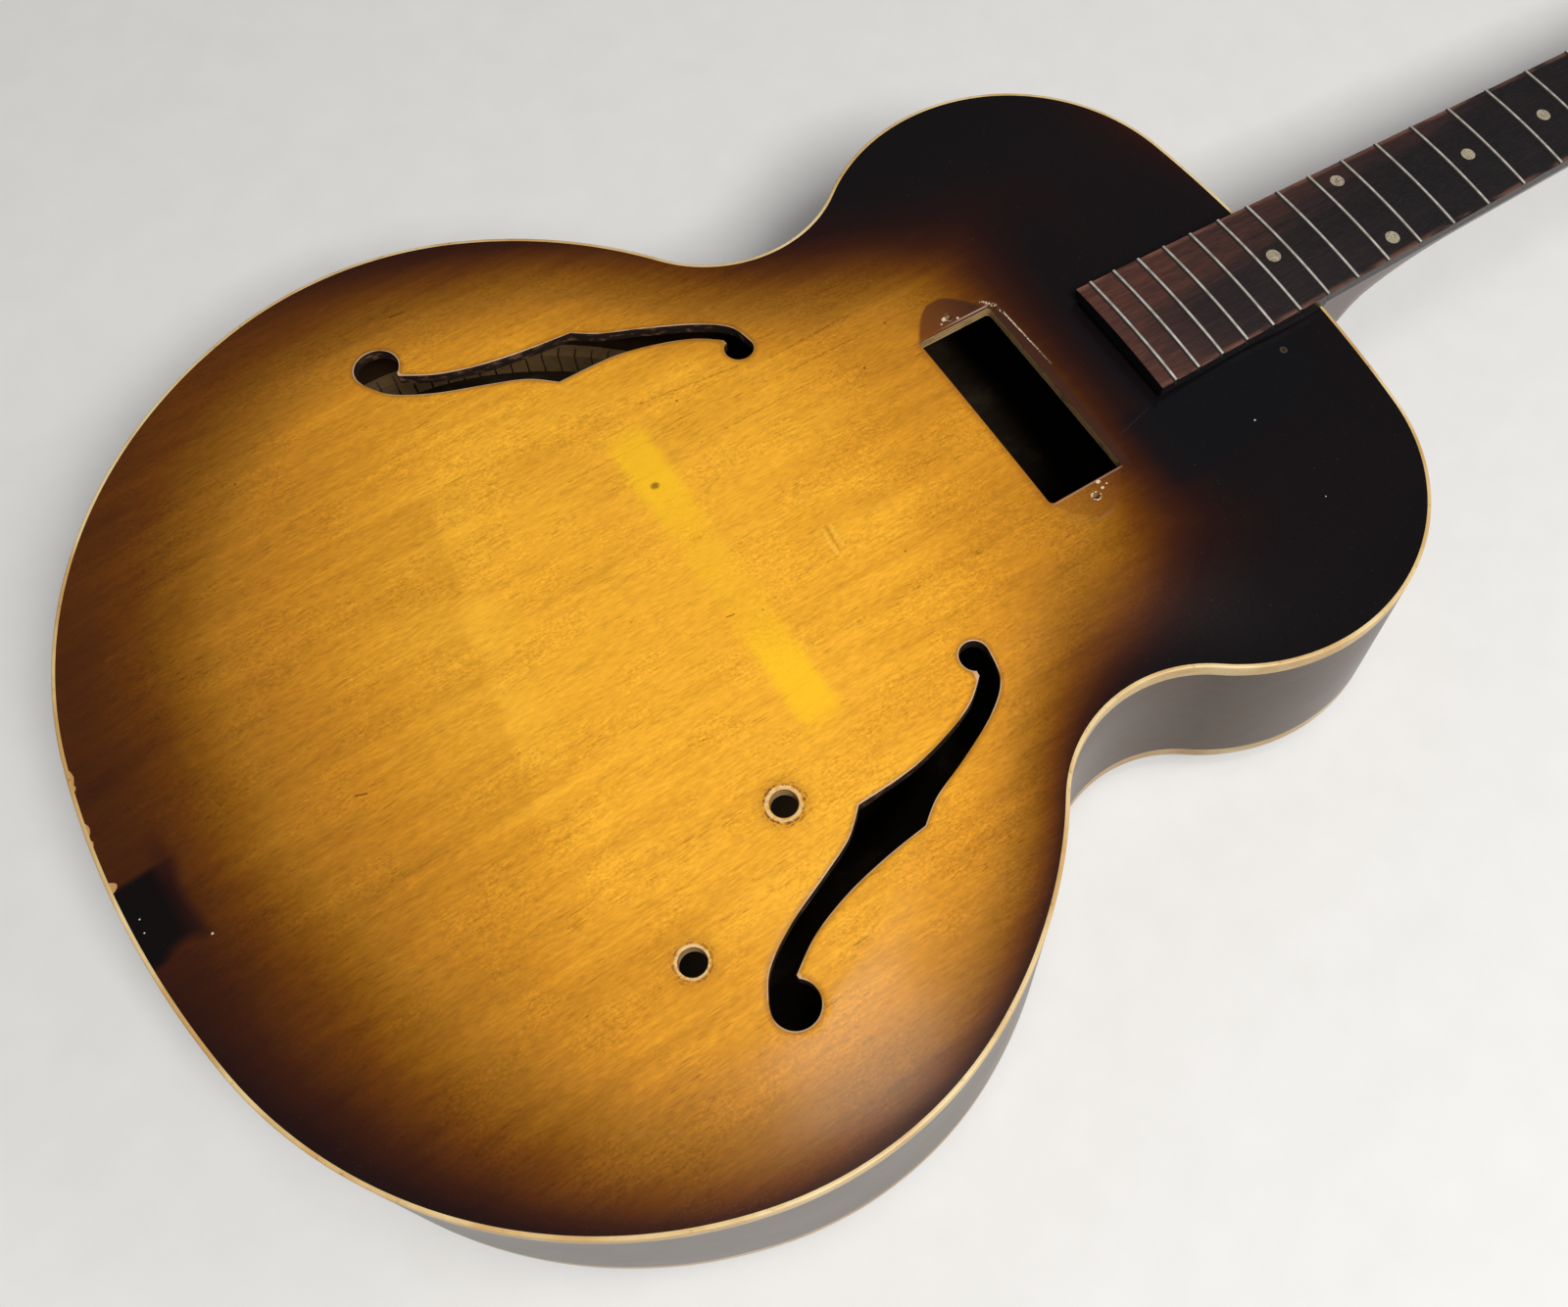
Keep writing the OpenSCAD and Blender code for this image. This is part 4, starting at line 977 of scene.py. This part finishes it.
def bone():
    s = Shade("bone", srgb(214, 200, 164))
    stain = s.noise(0.3, 0.12, 0.3, detail=4.0, shift=121.0)
    pits = s.noise(2.2, 2.2, 2.2, shift=122.0).step(0.62, 0.78)
    s.start((186, 164, 118), (226, 214, 184), stain.step(0.3, 0.7))
    s.lay((96, 74, 50), pits * 0.4)
    return s.finish(0.42 + stain * 0.12, s.bump(pits * -0.04))


def floor_paper():
    s = Shade("floor_paper", srgb(226, 224, 220))
    tooth = s.noise(0.05, 0.05, 0.05, detail=4.0, shift=131.0)
    shown = s.mix(srgb(228, 226, 222), srgb(236, 234, 231), tooth)
    by_camera, by_gloss = (s.node("LightPath", {}, output=f"Is {kind} Ray") for kind in ("Camera", "Glossy"))
    seen = by_camera.most(by_gloss)
    s.colour = s.mix(srgb(104, 99, 92), shown, seen)
    return s.finish(0.9, s.bump((tooth - 0.5) * 0.02), Specular_IOR_Level=0.1)


TOP = top_lacquer()
BACK = dark_lacquer("back_lacquer", srgb(34, 17, 13), srgb(78, 34, 20), 0.4, 200.0)
SIDES = dark_lacquer("rim_lacquer", srgb(42, 28, 17), srgb(88, 60, 36), 0.06, 210.0)
NECK = dark_lacquer("neck_lacquer", srgb(44, 20, 14), srgb(96, 44, 26), 0.3, 220.0)
BLACK = black_lacquer()
CREAM = binding_cream()
BOARD = rosewood()
BLOCK_WOOD = bare_wood("block_wood", srgb(176, 132, 84), srgb(120, 80, 46), 230.0)
LINING_WOOD = bare_wood("lining_wood", srgb(196, 158, 106), srgb(142, 104, 62), 240.0)
# painted shade: the bare wood inside the body gets a much darker colour than the linings so that the inside
# of the body looks dark
SHADED_INSIDE_WOOD = bare_wood("body_inside_painted_shade", srgb(62, 48, 32), srgb(36, 27, 18), 250.0)
PLY = ply_wall("ply_wall", srgb(186, 150, 98), 260.0)
STAINED = stained_wall()
SHADED_FRET_METAL = fret_metal()
STEEL = plain_metal("rod_steel", srgb(92, 84, 76), srgb(150, 146, 140), 270.0)
BRASS = plain_metal("nut_brass", srgb(112, 84, 40), srgb(190, 152, 84), 280.0)
PEARL = pearl()
BONE = bone()

# ---- Body: plates, rims and bindings
SOUND_FILLET, ROUT_FILLET, CONTROL_FILLET, SCREW_FILLET = 0.45, 0.35, 0.4, 0.25
treble_hole = treble_sound_hole()
sound_holes = [treble_hole, treble_hole * MIRROR]
top_holes = [(loop, SOUND_FILLET, DARK_WALL) for loop in sound_holes] + [(rout(), ROUT_FILLET, PLY_WALL)]
top_holes += [(circle(p, CONTROL_HOLE_R, 48), CONTROL_FILLET, PLY_WALL) for p in CONTROL_HOLES]
top_holes += [(circle(p, PICKUP_SCREW_R, 20), SCREW_FILLET, PLY_WALL) for p in PICKUP_SCREWS]
top_materials, back_materials = [TOP, STAINED, PLY, SHADED_INSIDE_WOOD], [BACK, BACK, BACK, SHADED_INSIDE_WOOD]
plate("body_top", "top_plate", ARCH_H, top_holes, top_materials, TOP_SPACING)
plate("body_back", "back_plate", BACK_LEVEL, [], back_materials, BACK_SPACING)

BINDING_ROUND = 0.8


def binding_profile(top, bottom):
    """The binding's section with its outer corner at top rounded off, from the inner edge outwards."""
    sign = 1 if top > bottom else -1
    corner = [(BINDING_ROUND * (1 - math.sin(a)), top - sign * BINDING_ROUND * (1 - math.cos(a)))
              for a in np.radians([0, 18, 36, 54, 72, 90])]
    profile = [(BINDING_T, top), *corner, (0, bottom), (BINDING_T, bottom)]
    return profile if sign > 0 else profile[::-1]


def trimmed(points, inward):
    """The bass side up to the edge of the mortise."""
    keep = ~((points[:, 0] > -MORTISE_L) & (np.abs(points[:, 1]) < MORTISE_HALF_W))
    return points[keep], inward[keep]


bass_run = trimmed(*bass_side(OUTLINE_STEP))
treble_run = [side * MIRROR for side in bass_run]
top_run = [np.vstack([treble[::-1], bass[1:]]) for treble, bass in zip(treble_run, bass_run)]
top_ring = sweep("edge_binding_top", binding_profile(0, -BINDING_H), *top_run, False, CREAM)
stand_for(top_ring, "top_binding")
back_profile = binding_profile(-RIM_H, BINDING_H - RIM_H)
back_ring = sweep("edge_binding_back", back_profile, *whole_side(OUTLINE_STEP), True, CREAM)
stand_for(back_ring, "back_binding")

RIM_PROFILE = [(RIM_T, -PLATE_T), (BINDING_T, -PLATE_T), (BINDING_T, -BINDING_H), (0, -BINDING_H)]
RIM_PROFILE += [(0, z) for z in np.linspace(-BINDING_H, BINDING_H - RIM_H, 8)[1:-1]]
RIM_PROFILE += [(0, BINDING_H - RIM_H), (BINDING_T, BINDING_H - RIM_H), (BINDING_T, PLATE_T - RIM_H),
                (RIM_T, PLATE_T - RIM_H)]
socket_point, socket_inward = on_arc(SOCKET_ARC, SOCKET_ALONG)
bass_rim = sweep("side_bass", RIM_PROFILE, *bass_run, False, SIDES)
treble_rim = sweep("side_treble", RIM_PROFILE[::-1], *treble_run, False, SIDES)


def tail_cutters():
    """Rods along the body for the tail pin's hole and the tailpiece's screw holes."""
    rods = [rod_mesh((-BODY_L, 0, TAIL_PIN_Z), (1, 0, 0), TAIL_PIN_R, 40)]
    for y, z in TAIL_SCREWS:
        rods.append(rod_mesh((-BODY_L, y, TAIL_PIN_Z + z), (1, 0, 0), TAIL_SCREW_R, 20, 24))
    return rods


cut(bass_rim, tail_cutters())
socket_at = (*(socket_point * MIRROR), TAIL_PIN_Z)
socket_along = (*(socket_inward * MIRROR), 0)
cut(treble_rim, tail_cutters() + [rod_mesh(socket_at, socket_along, SOCKET_R, 20)])
stand_for(bass_rim, "rim_bass")
stand_for(treble_rim, "rim_treble")

# ---- CAD pieces that keep their own mesh
SLOT_MATERIALS = {
    "block_wood": BLOCK_WOOD, "lining_wood": LINING_WOOD, "binding_cream": CREAM, "neck_lacquer": NECK,
    "black_lacquer": BLACK, "rod_steel": STEEL, "nut_brass": BRASS, "rosewood": BOARD, "bone": BONE,
    "pearl": PEARL, "fret_metal": SHADED_FRET_METAL, "top_lacquer": TOP, "back_lacquer": BACK, "rim_lacquer": SIDES,
}
BEVEL_FROM = math.radians(50)
EDGE_ROUNDING = {"neck_lacquer": 0.5, "black_lacquer": 0.4, "rosewood": 0.25, "bone": 0.25, "rod_steel": 0.2,
                 "nut_brass": 0.3}


def smooth_by_angle(obj):
    mesh = obj.data
    mesh.polygons.foreach_set("use_smooth", np.ones(len(mesh.polygons), bool))
    mesh.set_sharp_from_angle(angle=SHARP_ANGLE)


for subpart in frame["record"]["subparts"]:
    obj, slot_name = nodes[subpart["node"]], subpart["material_slot"]
    obj.data.materials.clear()
    obj.data.materials.append(SLOT_MATERIALS[slot_name])
    smooth_by_angle(obj)
    if slot_name in EDGE_ROUNDING and not obj.hide_render:
        bevel = obj.modifiers.new("soft_edges", "BEVEL")
        bevel.width = EDGE_ROUNDING[slot_name] * MM
        bevel.segments = 2
        bevel.limit_method = "ANGLE"
        bevel.angle_limit = BEVEL_FROM
        bevel.use_clamp_overlap = True

# ---- Floor, lights and camera
FLOOR_HALF = 4.0
floor_mesh = bpy.data.meshes.new("floor")
corners = [(-FLOOR_HALF, -FLOOR_HALF, 0), (FLOOR_HALF, -FLOOR_HALF, 0), (FLOOR_HALF, FLOOR_HALF, 0),
           (-FLOOR_HALF, FLOOR_HALF, 0)]
floor_mesh.from_pydata(corners, [], [(0, 1, 2, 3)])
floor_mesh.materials.append(floor_paper())
floor = bpy.data.objects.new("floor", floor_mesh)
bpy.context.scene.collection.objects.link(floor)


def area_light(name, place, target, size, power):
    data = bpy.data.lights.new(name, "AREA")
    data.shape = "RECTANGLE"
    data.size, data.size_y = size
    data.energy = power
    light = bpy.data.objects.new(name, data)
    light.location = place
    light.rotation_euler = (Vector(target) - Vector(place)).to_track_quat("-Z", "Y").to_euler()
    bpy.context.scene.collection.objects.link(light)


area_light("key", place=(-0.2, -1.5, 2.2), target=(-0.15, 0.0, 0.1), size=(0.9, 0.9), power=62)
area_light("sheen", place=(-0.03, -0.35, 2.5), target=(-0.2, -0.1, 0.1), size=(0.5, 0.5), power=5.5)
area_light("fill", place=(1.6, -1.2, 1.8), target=(0.1, 0.0, 0.1), size=(0.8, 0.8), power=8)

SKY_COLOUR, SKY_STRENGTH = (0.95, 0.97, 1.0, 1.0), 0.14
world = bpy.data.worlds.new("studio")
bpy.context.scene.world = world
world.use_nodes = True
backdrop = world.node_tree.nodes["Background"]
backdrop.inputs["Color"].default_value = SKY_COLOUR
backdrop.inputs["Strength"].default_value = SKY_STRENGTH

CAMERA_PLACE, CAMERA_DEGREES = (-0.3945, -0.2783, 0.6520), (25.472, -2.858, -35.189)
CAMERA_LENS, CAMERA_SENSOR, CAMERA_SHIFT_X = 38.47, 36, -0.125
camera_data = bpy.data.cameras.new("camera")
camera_data.lens = CAMERA_LENS
camera_data.sensor_width = CAMERA_SENSOR
camera_data.shift_x = CAMERA_SHIFT_X
camera_data.clip_start = 0.02
camera = bpy.data.objects.new("camera", camera_data)
camera.location = CAMERA_PLACE
camera.rotation_euler = [math.radians(a) for a in CAMERA_DEGREES]
bpy.context.scene.collection.objects.link(camera)
bpy.context.scene.camera = camera
bpy.context.scene.view_settings.view_transform = "Standard"
cycles = bpy.context.scene.cycles
cycles.max_bounces, cycles.diffuse_bounces, cycles.glossy_bounces = 6, 2, 3
